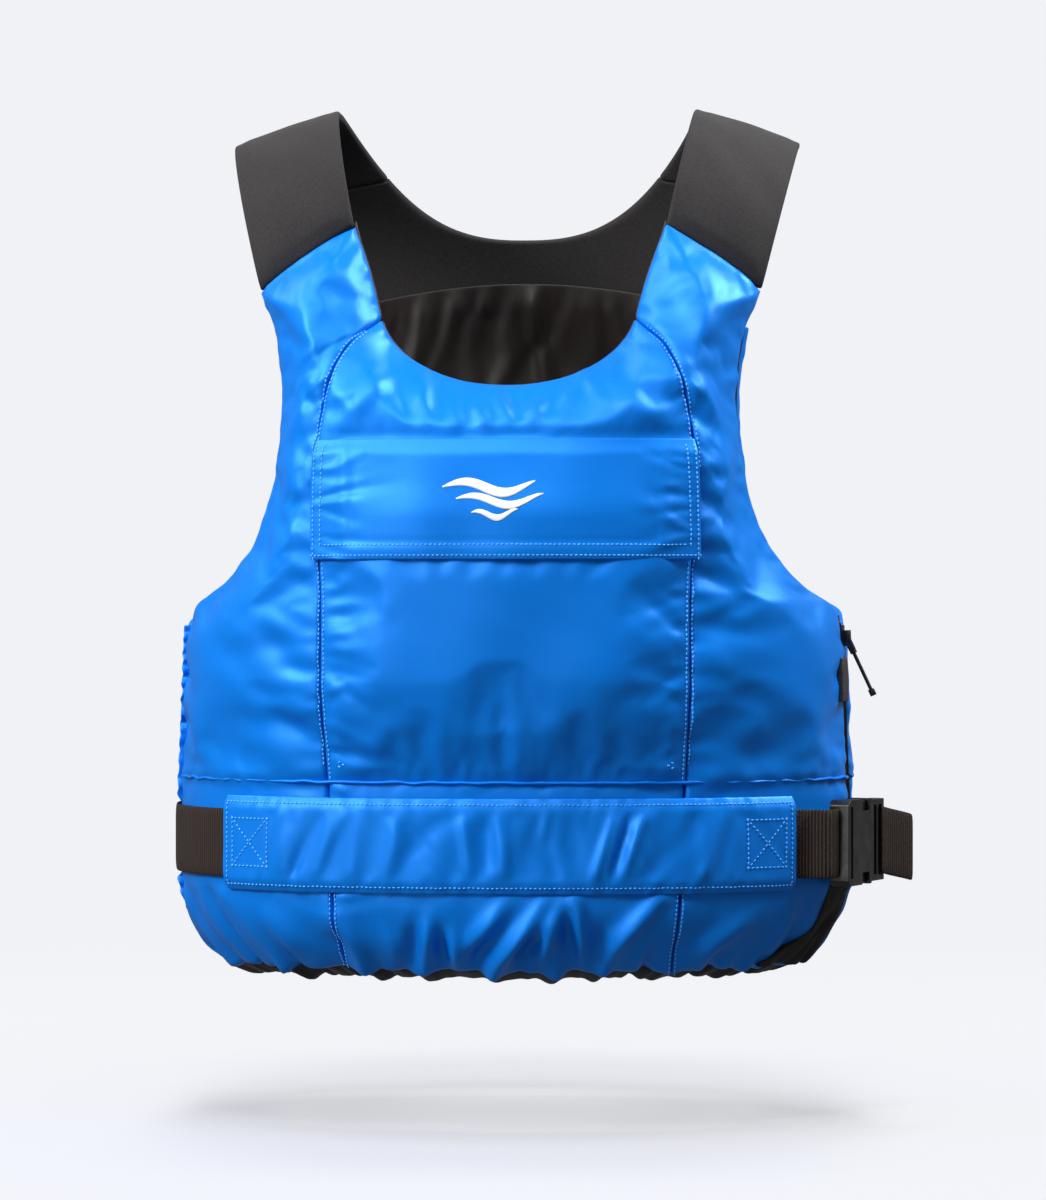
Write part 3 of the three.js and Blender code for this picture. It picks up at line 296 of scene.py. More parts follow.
def centre_front(nu, nv):
    u, v = grid_axes(nu, nv)
    top = np.full_like(u, CORNER_Z)
    for _ in range(60):
        top = mix(top, neck_height((2 * u - 1) * princess(top)), 0.5)
    z = LOW_Z + v * (top - LOW_Z)
    x = (2 * u - 1) * (princess(z) - SEAM_GAP / 2)
    return np.sign(x) * angle_at_x(x, z), z


def side_front(nu, nv, side):
    u, v = grid_axes(nu, nv)
    row = LOW_Z + v * (SHOULDER_IN[1] - LOW_Z)
    share = (row - ARMPIT_Z) / (SHOULDER_IN[1] - ARMPIT_Z)
    outer = np.where(row <= ARMPIT_Z, row, mix(ARMPIT_Z, SHOULDER_OUT[1], share))
    a = angle_at_x(princess(row) + SEAM_GAP / 2, row)
    b = side_edge(outer, True, side)
    return side * mix(a, b, u), mix(row, outer, u)


def back_rows(v, top):
    low = LOW_Z + v * (BACK_ARM_Z - LOW_Z)
    mid = LOW_Z + 0.49 * (BACK_ARM_Z - LOW_Z)
    return np.where(v <= 0.49, low, mix(mid, top, (v - 0.49) / 0.51))


def centre_back(nu, nv):
    u, v = grid_axes(nu, nv)
    x = (1 - 2 * u) * (BACK_SEAM_X - SEAM_GAP / 2) + 0 * v
    z = back_rows(v, back_top(x))
    return np.where(x < 0, -1.0, 1.0) * angle_at_x(x, z, False), z


def side_back(nu, nv, side):
    u, v = grid_axes(nu, nv)
    inner = back_rows(v, back_top(BACK_SEAM_X)) + 0 * u
    outer = back_rows(v, BACK_ARM_Z) + 0 * u
    a = angle_at_x(BACK_SEAM_X + SEAM_GAP / 2, inner, False)
    b = side_edge(outer, False, side)
    return side * mix(a, b, u), mix(inner, outer, u)


# ---------------------------------------------------------------- repeatable unevenness
def ripple(t, period, seed, terms=7):
    rng = np.random.default_rng(seed)
    total = np.zeros_like(np.asarray(t, float))
    for _ in range(terms):
        wave = period * rng.uniform(0.62, 1.7)
        total = total + np.sin(2 * np.pi * t / wave + rng.uniform(0, 2 * np.pi))
    return total / math.sqrt(terms) * 0.8


def swell(x, z, across, along, tilt, seed, terms=12):
    """Soft folds about `across` wide and `along` long, leaning by `tilt` radians."""
    rng = np.random.default_rng(seed)
    total = np.zeros(np.broadcast(x, z).shape)
    for _ in range(terms):
        lean = tilt + rng.normal(0, 0.28)
        a = x * math.cos(lean) + z * math.sin(lean)
        b = -x * math.sin(lean) + z * math.cos(lean)
        fx = rng.uniform(0.6, 1.6) / across
        fz = rng.uniform(-1.0, 1.0) / along
        total += np.sin(2 * np.pi * (a * fx + b * fz) + rng.uniform(0, 2 * np.pi))
    return total / math.sqrt(terms) * 0.9


def crease(x, z, marks):
    """Single folds given as start, end, width and height in mm."""
    total = np.zeros(np.broadcast(x, z).shape)
    for x0, z0, x1, z1, wide, high in marks:
        dx, dz = x1 - x0, z1 - z0
        size = dx * dx + dz * dz
        t = np.clip(((x - x0) * dx + (z - z0) * dz) / size, 0, 1)
        away = np.hypot(x - x0 - t * dx, z - z0 - t * dz)
        total += high * np.exp(-((away / wide) ** 2)) * (0.25 + 0.75 * np.sin(np.pi * np.clip(t, 0.02, 0.98)))
    return total


def fans(d, s, seed, spacing, reach, high, wide=2.6, slant=0.35):
    """Short folds that start at a seam; d is the distance from it and s the place along it."""
    rng = np.random.default_rng(seed)
    total = np.zeros(np.broadcast(d, s).shape)
    place = float(np.min(s)) + rng.uniform(0, spacing)
    while place < float(np.max(s)):
        length = reach * rng.uniform(0.45, 1.5)
        tilt = rng.normal(0, slant)
        spread = wide * rng.uniform(0.75, 1.5) * (1 + 0.9 * d / length)
        size = high * rng.uniform(0.45, 1.2) * (-1 if rng.random() < 0.6 else 1)
        off = (s - place - tilt * d - 0.006 * rng.normal() * d * d) / spread
        total += size * (1 - 1.1 * off * off) * np.exp(-off * off) * np.exp(-((d / length) ** 2))
        place += spacing * rng.uniform(0.5, 1.6)
    return total


def ring_fans(angle, d, seed, count, reach, high, wide, slant):
    """The same folds, placed all the way round the body."""
    rng = np.random.default_rng(seed)
    total = np.zeros(np.broadcast(angle, d).shape)
    for k in range(count):
        middle = -math.pi + 2 * math.pi * (k + rng.uniform(-0.38, 0.38)) / count
        length = reach * rng.uniform(0.5, 1.35)
        tilt = rng.normal(0, slant)
        spread = wide * rng.uniform(0.75, 1.4) * (1 + 0.8 * d / length)
        size = high * rng.uniform(0.5, 1.2) * (-1 if rng.random() < 0.5 else 1)
        off = np.mod(angle - middle - tilt * d / 150 + math.pi, 2 * math.pi) - math.pi
        off = off * 150 / spread
        total += size * (1 - 1.1 * off * off) * np.exp(-off * off) * np.exp(-((d / length) ** 2))
    return total


def gathers(angle, z):
    """The drawn-in folds of the hem, by place round the body and height."""
    d = np.clip(z - 8, 0, None)
    wave = ring_fans(angle, d, 5, 44, 40, 3.9, 6.0, 0.42)
    return wave + ring_fans(angle, d, 6, 84, 18, 1.5, 2.8, 0.35)


SKIRT_FOLDS = [
    (-147, 41, -117, 14, 7, 2.2), (-106, 42, -78, 12, 6, 2.6), (-70, 30, -60, 10, 4, 2.0),
    (-44, 36, -46, 12, 4, 3.0), (-30, 30, -29, 8, 3, 3.0), (-24, 18, 0, 44, 4.5, 3.4),
    (-14, 8, 21, 36, 4.5, 4.0), (-6, 15, 27, 50, 3.5, 2.4), (17, 12, 33, 46, 4.5, 4.0),
    (45, 14, 39, 52, 3.5, 3.4), (49, 9, 93, 52, 4.5, 4.0), (70, 8, 84, 24, 4, 2.0),
    (105, 11, 142, 38, 5, 3.0), (-90, 12, -100, 30, 5, -2.0), (-54, 10, -52, 34, 4, -3.0),
    (-37, 8, -37, 30, 3, -2.6), (-20, 8, -8, 26, 4, -2.8), (6, 10, 22, 30, 4, -3.0),
    (36, 10, 36, 40, 3.5, -3.2), (54, 8, 56, 30, 5, -2.4), (92, 10, 112, 30, 5, -2.4),
]


def skirt_folds(a, z, x):
    """All the folds between the belt and the hem."""
    front = np.clip((math.pi / 2 - np.abs(a)) / 0.25, 0, 1)
    mid = front * np.clip((165 - np.abs(x)) / 30, 0, 1)
    relief = gathers(a, z) * (1 - 0.55 * mid * np.clip((z - 8) / 10, 0, 1))
    relief += ring_fans(a, np.clip(50 - z, 0, None), 8, 60, 16, 1.6, 3.4, 0.4) * (1 - 0.6 * mid)
    return relief + 1.9 * front * crease(x, z, SKIRT_FOLDS)


def hem_drop(angle):
    """How far the lower edge hangs below its drawn line, in scallops."""
    return 1.3 + 0.75 * gathers(angle, 8.0)


def border_distances(points):
    across = np.linalg.norm(np.diff(points, axis=0), axis=2)
    up = np.linalg.norm(np.diff(points, axis=1), axis=2)
    zero_a = np.zeros((1, points.shape[1]))
    zero_u = np.zeros((points.shape[0], 1))
    left = np.concatenate([zero_a, np.cumsum(across, 0)], 0)
    low = np.concatenate([zero_u, np.cumsum(up, 1)], 1)
    return left, left[-1:, :] - left, low, low[:, -1:] - low


def grid_normals(points):
    """Unit directions away from the middle of the torso."""
    n = np.cross(np.gradient(points, axis=0), np.gradient(points, axis=1))
    n /= np.maximum(1e-9, np.linalg.norm(n, axis=2, keepdims=True))
    away = points - np.array([0, 0, 200])
    return n if np.sum(n * away) > 0 else -n


# ---------------------------------------------------------------- meshes
def link(name, mesh):
    obj = bpy.data.objects.new(name, mesh)
    bpy.context.scene.collection.objects.link(obj)
    return obj


def mesh_object(name, vertices, faces, uvs=None, material=None, flat=False):
    mesh = bpy.data.meshes.new(name)
    mesh.from_pydata([tuple(v) for v in np.asarray(vertices) * MM], [], faces)
    if uvs is not None:
        layer = mesh.uv_layers.new(name="Cut")
        index = np.zeros(len(mesh.loops), int)
        mesh.loops.foreach_get("vertex_index", index)
        layer.data.foreach_set("uv", np.asarray(uvs, np.float32)[index].ravel())
    mesh.polygons.foreach_set("use_smooth", [not flat] * len(mesh.polygons))
    if material is not None:
        mesh.materials.append(material)
    mesh.validate()
    mesh.update()
    return link(name, mesh)


def volume_of(v, faces):
    total = 0.0
    for f in faces:
        a = v[f[0]]
        for k in range(1, len(f) - 1):
            total += np.dot(a, np.cross(v[f[k]], v[f[k + 1]]))
    return total


def shell(name, outer, inner, material, uv=None, round_edges=1):
    """A closed sheet between two grids of points, in mm."""
    nu, nv = outer.shape[0] - 1, outer.shape[1] - 1
    count = (nu + 1) * (nv + 1)
    index = np.arange(count).reshape(nu + 1, nv + 1)
    faces = []
    for i in range(nu):
        for j in range(nv):
            a, b, c, d = index[i, j], index[i + 1, j], index[i + 1, j + 1], index[i, j + 1]
            faces.append((a, b, c, d))
            faces.append((d + count, c + count, b + count, a + count))
    for i in range(nu):
        a, b = index[i, 0], index[i + 1, 0]
        faces.append((a, a + count, b + count, b))
        a, b = index[i, nv], index[i + 1, nv]
        faces.append((b, b + count, a + count, a))
    for j in range(nv):
        a, b = index[0, j], index[0, j + 1]
        faces.append((b, b + count, a + count, a))
        a, b = index[nu, j], index[nu, j + 1]
        faces.append((a, a + count, b + count, b))
    vertices = np.concatenate([outer.reshape(-1, 3), inner.reshape(-1, 3)])
    faces = [tuple(int(k) for k in f) for f in faces]
    if volume_of(vertices, faces) < 0:
        faces = [f[::-1] for f in faces]
    if uv is not None:
        uv = np.concatenate([uv.reshape(-1, 2), uv.reshape(-1, 2)])
    obj = mesh_object(name, vertices, faces, uv, material)
    if round_edges:
        sub = obj.modifiers.new("Soft edges", "SUBSURF")
        sub.levels = sub.render_levels = round_edges
    return obj


def cut_plan(points):
    """Flat coordinates in metres: distance across from the middle, and distance up."""
    left, right, low, _ = border_distances(points)
    return np.stack([(left - right) / 2, low], -1) * MM


def settle(points, pinned, grow, push, limit, bend=1.2, frames=18):
    """A pinned sheet of cloth, cut slightly larger than its seams, swells and creases."""
    nu, nv = points.shape[0] - 1, points.shape[1] - 1
    index = np.arange((nu + 1) * (nv + 1)).reshape(nu + 1, nv + 1)
    faces = [
        (int(index[i, j]), int(index[i + 1, j]), int(index[i + 1, j + 1]), int(index[i, j + 1]))
        for i in range(nu)
        for j in range(nv)
    ]
    n = np.cross(np.gradient(points, axis=0), np.gradient(points, axis=1))
    if np.sum(n * (points - np.array([0, 0, 200]))) < 0:
        faces = [f[::-1] for f in faces]
    obj = mesh_object("settling", points.reshape(-1, 3), faces)
    group = obj.vertex_groups.new(name="Pinned")
    for k, w in enumerate(pinned.ravel()):
        if w > 0:
            group.add([k], float(w), "REPLACE")
    cloth = obj.modifiers.new("Cloth", "CLOTH")
    s = cloth.settings
    s.quality = 5
    s.mass = 0.25
    s.tension_stiffness = s.compression_stiffness = 18
    s.shear_stiffness = 6
    s.bending_stiffness = bend
    s.tension_damping = s.compression_damping = 8
    s.vertex_group_mass = "Pinned"
    s.pin_stiffness = 5
    s.shrink_min = s.shrink_max = -grow
    s.use_pressure = push != 0
    s.uniform_pressure_force = push
    s.effector_weights.gravity = 0
    cloth.collision_settings.use_collision = False
    cloth.collision_settings.use_self_collision = False
    scene = bpy.context.scene
    cloth.point_cache.frame_start = 1
    cloth.point_cache.frame_end = frames
    for f in range(1, frames + 1):
        scene.frame_set(f)
    ready = obj.evaluated_get(bpy.context.evaluated_depsgraph_get()).to_mesh()
    got = np.zeros(len(ready.vertices) * 3)
    ready.vertices.foreach_get("co", got)
    moved = got.reshape(points.shape) / MM - points
    bpy.data.objects.remove(obj)
    scene.frame_set(1)
    size = np.linalg.norm(moved, axis=2, keepdims=True)
    moved *= np.minimum(1, limit / np.maximum(size, 1e-9))
    return points + moved


def rounded_copy(name, node, width, material, segments=3, angle=28):
    """A frame node's mesh, cleaned, with softened moulded edges."""
    mesh = NODES[node].data.copy()
    mesh.transform(NODES[node].matrix_world)
    work = bmesh.new()
    work.from_mesh(mesh)
    bmesh.ops.remove_doubles(work, verts=work.verts, dist=2e-5)
    bmesh.ops.dissolve_limit(
        work, angle_limit=math.radians(4), verts=work.verts, edges=work.edges
    )
    work.to_mesh(mesh)
    work.free()
    mesh.materials.clear()
    mesh.materials.append(material)
    while mesh.uv_layers:
        mesh.uv_layers.remove(mesh.uv_layers[0])
    mesh.polygons.foreach_set("use_smooth", [True] * len(mesh.polygons))
    obj = link(name, mesh)
    bevel = obj.modifiers.new("Moulded edges", "BEVEL")
    bevel.width = width * MM
    bevel.segments = segments
    bevel.limit_method = "ANGLE"
    bevel.angle_limit = math.radians(angle)
    bevel.harden_normals = True
    return obj


# ---------------------------------------------------------------- shader groups and materials
def srgb(r, g, b):
    def one(c):
        c /= 255
        return c / 12.92 if c <= 0.04045 else ((c + 0.055) / 1.055) ** 2.4

    return (one(r), one(g), one(b), 1.0)


def add_node(tree, kind, place, **values):
    node = tree.nodes.new(kind)
    node.location = place
    for key, value in values.items():
        if key.startswith("in_"):
            node.inputs[int(key[3:])].default_value = value
        else:
            setattr(node, key, value)
    return node


def weave_group():
    """Height of a plain weave from a flat position and a thread pitch."""
    tree = bpy.data.node_groups.new("Plain weave", "ShaderNodeTree")
    face = tree.interface
    face.new_socket(name="Position", in_out="INPUT", socket_type="NodeSocketVector")
    face.new_socket(name="Across", in_out="INPUT", socket_type="NodeSocketFloat").default_value = 2500
    face.new_socket(name="Along", in_out="INPUT", socket_type="NodeSocketFloat").default_value = 2500
    face.new_socket(name="Height", in_out="OUTPUT", socket_type="NodeSocketFloat")
    start = add_node(tree, "NodeGroupInput", (-900, 0))
    end = add_node(tree, "NodeGroupOutput", (500, 0))
    split = add_node(tree, "ShaderNodeSeparateXYZ", (-700, 0))
    tree.links.new(start.outputs["Position"], split.inputs[0])
    waves = []
    for k, name in enumerate(("Across", "Along")):
        times = add_node(tree, "ShaderNodeMath", (-500, -160 * k), operation="MULTIPLY")
        tree.links.new(split.outputs[k], times.inputs[0])
        tree.links.new(start.outputs[name], times.inputs[1])
        wave = add_node(tree, "ShaderNodeMath", (-320, -160 * k), operation="SINE")
        tree.links.new(times.outputs[0], wave.inputs[0])
        waves.append(wave)
    both = add_node(tree, "ShaderNodeMath", (-120, 0), operation="MULTIPLY")
    tree.links.new(waves[0].outputs[0], both.inputs[0])
    tree.links.new(waves[1].outputs[0], both.inputs[1])
    lift = add_node(tree, "ShaderNodeMath", (80, 0), operation="MULTIPLY_ADD", in_1=0.5, in_2=0.5)
    tree.links.new(both.outputs[0], lift.inputs[0])
    tree.links.new(lift.outputs[0], end.inputs["Height"])
    return tree


def mottle_group():
    """Slow uneven change of a colour over the surface."""
    tree = bpy.data.node_groups.new("Dye mottle", "ShaderNodeTree")
    face = tree.interface
    face.new_socket(name="Position", in_out="INPUT", socket_type="NodeSocketVector")
    face.new_socket(name="Scale", in_out="INPUT", socket_type="NodeSocketFloat").default_value = 12
    face.new_socket(name="Light", in_out="INPUT", socket_type="NodeSocketColor")
    face.new_socket(name="Dark", in_out="INPUT", socket_type="NodeSocketColor")
    face.new_socket(name="Colour", in_out="OUTPUT", socket_type="NodeSocketColor")
    face.new_socket(name="Mask", in_out="OUTPUT", socket_type="NodeSocketFloat")
    start = add_node(tree, "NodeGroupInput", (-700, 0))
    end = add_node(tree, "NodeGroupOutput", (500, 0))
    noise = add_node(tree, "ShaderNodeTexNoise", (-500, 0))
    noise.inputs["Detail"].default_value = 4
    tree.links.new(start.outputs["Position"], noise.inputs["Vector"])
    tree.links.new(start.outputs["Scale"], noise.inputs["Scale"])
    spread = add_node(tree, "ShaderNodeMapRange", (-300, 0))
    spread.inputs["From Min"].default_value = 0.35
    spread.inputs["From Max"].default_value = 0.65
    tree.links.new(noise.outputs[0], spread.inputs["Value"])
    blend = add_node(tree, "ShaderNodeMix", (0, 0), data_type="RGBA")
    tree.links.new(spread.outputs[0], blend.inputs[0])
    tree.links.new(start.outputs["Light"], blend.inputs[6])
    tree.links.new(start.outputs["Dark"], blend.inputs[7])
    tree.links.new(blend.outputs[2], end.inputs["Colour"])
    tree.links.new(spread.outputs[0], end.inputs["Mask"])
    return tree


GROUPS = {}
LOOKS = {}


def group_node(tree, name, place):
    if name not in GROUPS:
        GROUPS[name] = {"Plain weave": weave_group, "Dye mottle": mottle_group}[name]()
    node = add_node(tree, "ShaderNodeGroup", place)
    node.node_tree = GROUPS[name]
    return node


def start_material(name):
    material = bpy.data.materials.new(name)
    material.use_nodes = True
    tree = material.node_tree
    body = tree.nodes["Principled BSDF"]
    return material, tree, body


def position_node(tree, flat):
    if flat:
        uv = add_node(tree, "ShaderNodeUVMap", (-1100, 0), uv_map="Cut")
        return uv.outputs[0]
    return add_node(tree, "ShaderNodeTexCoord", (-1100, 0)).outputs["Object"]


def cloth_material(name, light, dark, rough, pitch, depth_mm, flat=True, mottle=9, **gloss):
    """Woven cloth: plain weave relief, uneven dye and slightly uneven gloss."""
    material, tree, body = start_material(name)
    place = position_node(tree, flat)
    solid = add_node(tree, "ShaderNodeTexCoord", (-1100, -300)).outputs["Object"]
    dye = group_node(tree, "Dye mottle", (-700, 200))
    dye.inputs["Scale"].default_value = mottle
    dye.inputs["Light"].default_value = light
    dye.inputs["Dark"].default_value = dark
    tree.links.new(solid, dye.inputs["Position"])
    tree.links.new(dye.outputs["Colour"], body.inputs["Base Color"])
    uneven = add_node(tree, "ShaderNodeMapRange", (-400, 0))
    uneven.inputs["To Min"].default_value = rough * 0.9
    uneven.inputs["To Max"].default_value = rough * 1.12
    tree.links.new(dye.outputs["Mask"], uneven.inputs["Value"])
    tree.links.new(uneven.outputs[0], body.inputs["Roughness"])
    weave = group_node(tree, "Plain weave", (-700, -200))
    turns = 2 * math.pi / (pitch * MM)
    weave.inputs["Across"].default_value = turns
    weave.inputs["Along"].default_value = turns
    tree.links.new(place, weave.inputs["Position"])
    bump = add_node(tree, "ShaderNodeBump", (-350, -250))
    bump.inputs["Strength"].default_value = 0.5
    bump.inputs["Distance"].default_value = depth_mm * MM
    tree.links.new(weave.outputs["Height"], bump.inputs["Height"])
    tree.links.new(bump.outputs[0], body.inputs["Normal"])
    for key, value in gloss.items():
        body.inputs[key.replace("_", " ")].default_value = value
    return material


def neoprene_material():
    material, tree, body = start_material("Smooth neoprene")
    place = position_node(tree, False)
    dye = group_node(tree, "Dye mottle", (-700, 200))
    dye.inputs["Scale"].default_value = 900
    dye.inputs["Light"].default_value = srgb(40, 37, 39)
    dye.inputs["Dark"].default_value = srgb(30, 28, 29)
    tree.links.new(place, dye.inputs["Position"])
    tree.links.new(dye.outputs["Colour"], body.inputs["Base Color"])
    body.inputs["Roughness"].default_value = 0.82
    body.inputs["Specular IOR Level"].default_value = 0.3
    body.inputs["Sheen Weight"].default_value = 0.05
    body.inputs["Sheen Roughness"].default_value = 0.5
    fine = add_node(tree, "ShaderNodeTexNoise", (-700, -200))
    fine.inputs["Scale"].default_value = 1500
    fine.inputs["Detail"].default_value = 3
    tree.links.new(place, fine.inputs["Vector"])
    bump = add_node(tree, "ShaderNodeBump", (-350, -250))
    bump.inputs["Strength"].default_value = 0.6
    bump.inputs["Distance"].default_value = 0.15 * MM
    tree.links.new(fine.outputs[0], bump.inputs["Height"])
    tree.links.new(bump.outputs[0], body.inputs["Normal"])
    return material


def webbing_material(name, light, dark, rib=2.1, dash=1.5):
    """Ribbed webbing: rows of short slanted threads across the width."""
    material, tree, body = start_material(name)
    place = position_node(tree, True)
    split = add_node(tree, "ShaderNodeSeparateXYZ", (-1000, 0))
    tree.links.new(place, split.inputs[0])
    row = add_node(tree, "ShaderNodeMath", (-820, 100), operation="MULTIPLY", in_1=2 * math.pi / (rib * MM))
    tree.links.new(split.outputs[0], row.inputs[0])
    row_wave = add_node(tree, "ShaderNodeMath", (-640, 100), operation="SINE")
    tree.links.new(row.outputs[0], row_wave.inputs[0])
    slant = add_node(tree, "ShaderNodeMath", (-820, -100), operation="MULTIPLY_ADD", in_1=0.9)
    tree.links.new(split.outputs[0], slant.inputs[0])
    tree.links.new(split.outputs[1], slant.inputs[2])
    per_dash = 2 * math.pi / (dash * MM)
    turn = add_node(tree, "ShaderNodeMath", (-640, -100), operation="MULTIPLY", in_1=per_dash)
    tree.links.new(slant.outputs[0], turn.inputs[0])
    dash_wave = add_node(tree, "ShaderNodeMath", (-460, -100), operation="SINE")
    tree.links.new(turn.outputs[0], dash_wave.inputs[0])
    soft = add_node(tree, "ShaderNodeMath", (-300, -100), operation="MULTIPLY_ADD", in_1=0.45)
    tree.links.new(dash_wave.outputs[0], soft.inputs[0])
    tree.links.new(row_wave.outputs[0], soft.inputs[2])
    level = add_node(tree, "ShaderNodeMapRange", (-140, 0))
    level.inputs["From Min"].default_value = -1.3
    level.inputs["From Max"].default_value = 1.3
    tree.links.new(soft.outputs[0], level.inputs["Value"])
    # The colour follows the rib height: the dark colour in the grooves is painted shade, the light one is the
    # thread tops.
    blend = add_node(tree, "ShaderNodeMix", (40, 200), data_type="RGBA", in_6=dark, in_7=light)
    tree.links.new(level.outputs[0], blend.inputs[0])
    tree.links.new(blend.outputs[2], body.inputs["Base Color"])
    bump = add_node(tree, "ShaderNodeBump", (40, -200))
    bump.inputs["Strength"].default_value = 0.9
    bump.inputs["Distance"].default_value = 0.9 * MM
    tree.links.new(level.outputs[0], bump.inputs["Height"])
    tree.links.new(bump.outputs[0], body.inputs["Normal"])
    body.inputs["Roughness"].default_value = 0.7
    body.inputs["Specular IOR Level"].default_value = 0.25
    return material


def plastic_material(name, colour, worn, rough):
    """Moulded plastic with a fine grain and rubbed patches."""
    material, tree, body = start_material(name)
    place = position_node(tree, False)
    dye = group_node(tree, "Dye mottle", (-700, 200))
    dye.inputs["Scale"].default_value = 140
    dye.inputs["Light"].default_value = worn
    dye.inputs["Dark"].default_value = colour
    tree.links.new(place, dye.inputs["Position"])
    tree.links.new(dye.outputs["Colour"], body.inputs["Base Color"])
    uneven = add_node(tree, "ShaderNodeMapRange", (-400, 0))
    uneven.inputs["To Min"].default_value = rough * 0.8
    uneven.inputs["To Max"].default_value = rough * 1.25
    tree.links.new(dye.outputs["Mask"], uneven.inputs["Value"])
    tree.links.new(uneven.outputs[0], body.inputs["Roughness"])
    fine = add_node(tree, "ShaderNodeTexNoise", (-700, -200))
    fine.inputs["Scale"].default_value = 1200
    tree.links.new(place, fine.inputs["Vector"])
    bump = add_node(tree, "ShaderNodeBump", (-350, -250))
    bump.inputs["Strength"].default_value = 0.25
    bump.inputs["Distance"].default_value = 0.05 * MM
    tree.links.new(fine.outputs[0], bump.inputs["Height"])
    tree.links.new(bump.outputs[0], body.inputs["Normal"])
    return material


def look(name):
    if name in LOOKS:
        return LOOKS[name]
    user = bpy.context.scene.vest_colours
    blue = tuple(user.shell) + (1.0,)
    deep = tuple(0.86 * c for c in user.shell) + (1.0,)
    makers = {
        "shell": lambda: cloth_material(
            "Blue woven nylon", blue, deep, 0.4, 0.55, 0.05, Specular_IOR_Level=0.25, Metallic=0.24,
        ),
        "lining": lambda: cloth_material(
            "Dark glossy lining", srgb(40, 32, 29), srgb(27, 21, 20), 0.42, 0.5, 0.05,
            Specular_IOR_Level=0.4,
        ),
        "tape": lambda: cloth_material(
            "Black woven tape", srgb(34, 31, 31), srgb(22, 20, 20), 0.7, 1.1, 0.25, flat=False
        ),
        "elastic": lambda: cloth_material(
            "Black elastic binding", srgb(30, 28, 30), srgb(18, 17, 18), 0.55, 1.3, 0.3,
            Sheen_Weight=0.2,
        ),
        "hook": lambda: cloth_material(
            "Hook and loop tape", srgb(38, 36, 36), srgb(16, 15, 15), 0.9, 0.9, 0.6, flat=False
        ),
        "foam": lambda: cloth_material(
            "Buoyancy foam", srgb(228, 226, 218), srgb(214, 211, 203), 0.9, 2.0, 0.2, flat=False
        ),
        "neoprene": neoprene_material,
        # Webbing colours: light for the thread tops, dark as painted shade in the rib grooves.
        "webbing": lambda: webbing_material(
            "Ribbed webbing", srgb(64, 49, 43), srgb(7, 5, 4)
        ),
        # The tab webbing's dark colour is likewise painted shade in its rib grooves.
        "tab": lambda: webbing_material(
            "Fine grey tab webbing", srgb(84, 78, 78), srgb(34, 31, 31), 1.6, 1.2
        ),
        "plastic": lambda: plastic_material(
            "Black moulded plastic", srgb(20, 17, 16), srgb(27, 24, 22), 0.32
        ),
        "teeth": lambda: plastic_material(
            "Zip plastic", srgb(26, 24, 24), srgb(40, 37, 36), 0.42
        ),
        "thread": lambda: cloth_material(
            "Light blue thread", srgb(106, 196, 254), srgb(70, 172, 248), 0.5, 0.3, 0.05, flat=False
        ),
        "mark": lambda: cloth_material(
            "White printed mark", srgb(244, 246, 250), srgb(232, 236, 242), 0.5, 0.55, 0.05
        ),
    }
    LOOKS[name] = makers[name]()
    return LOOKS[name]


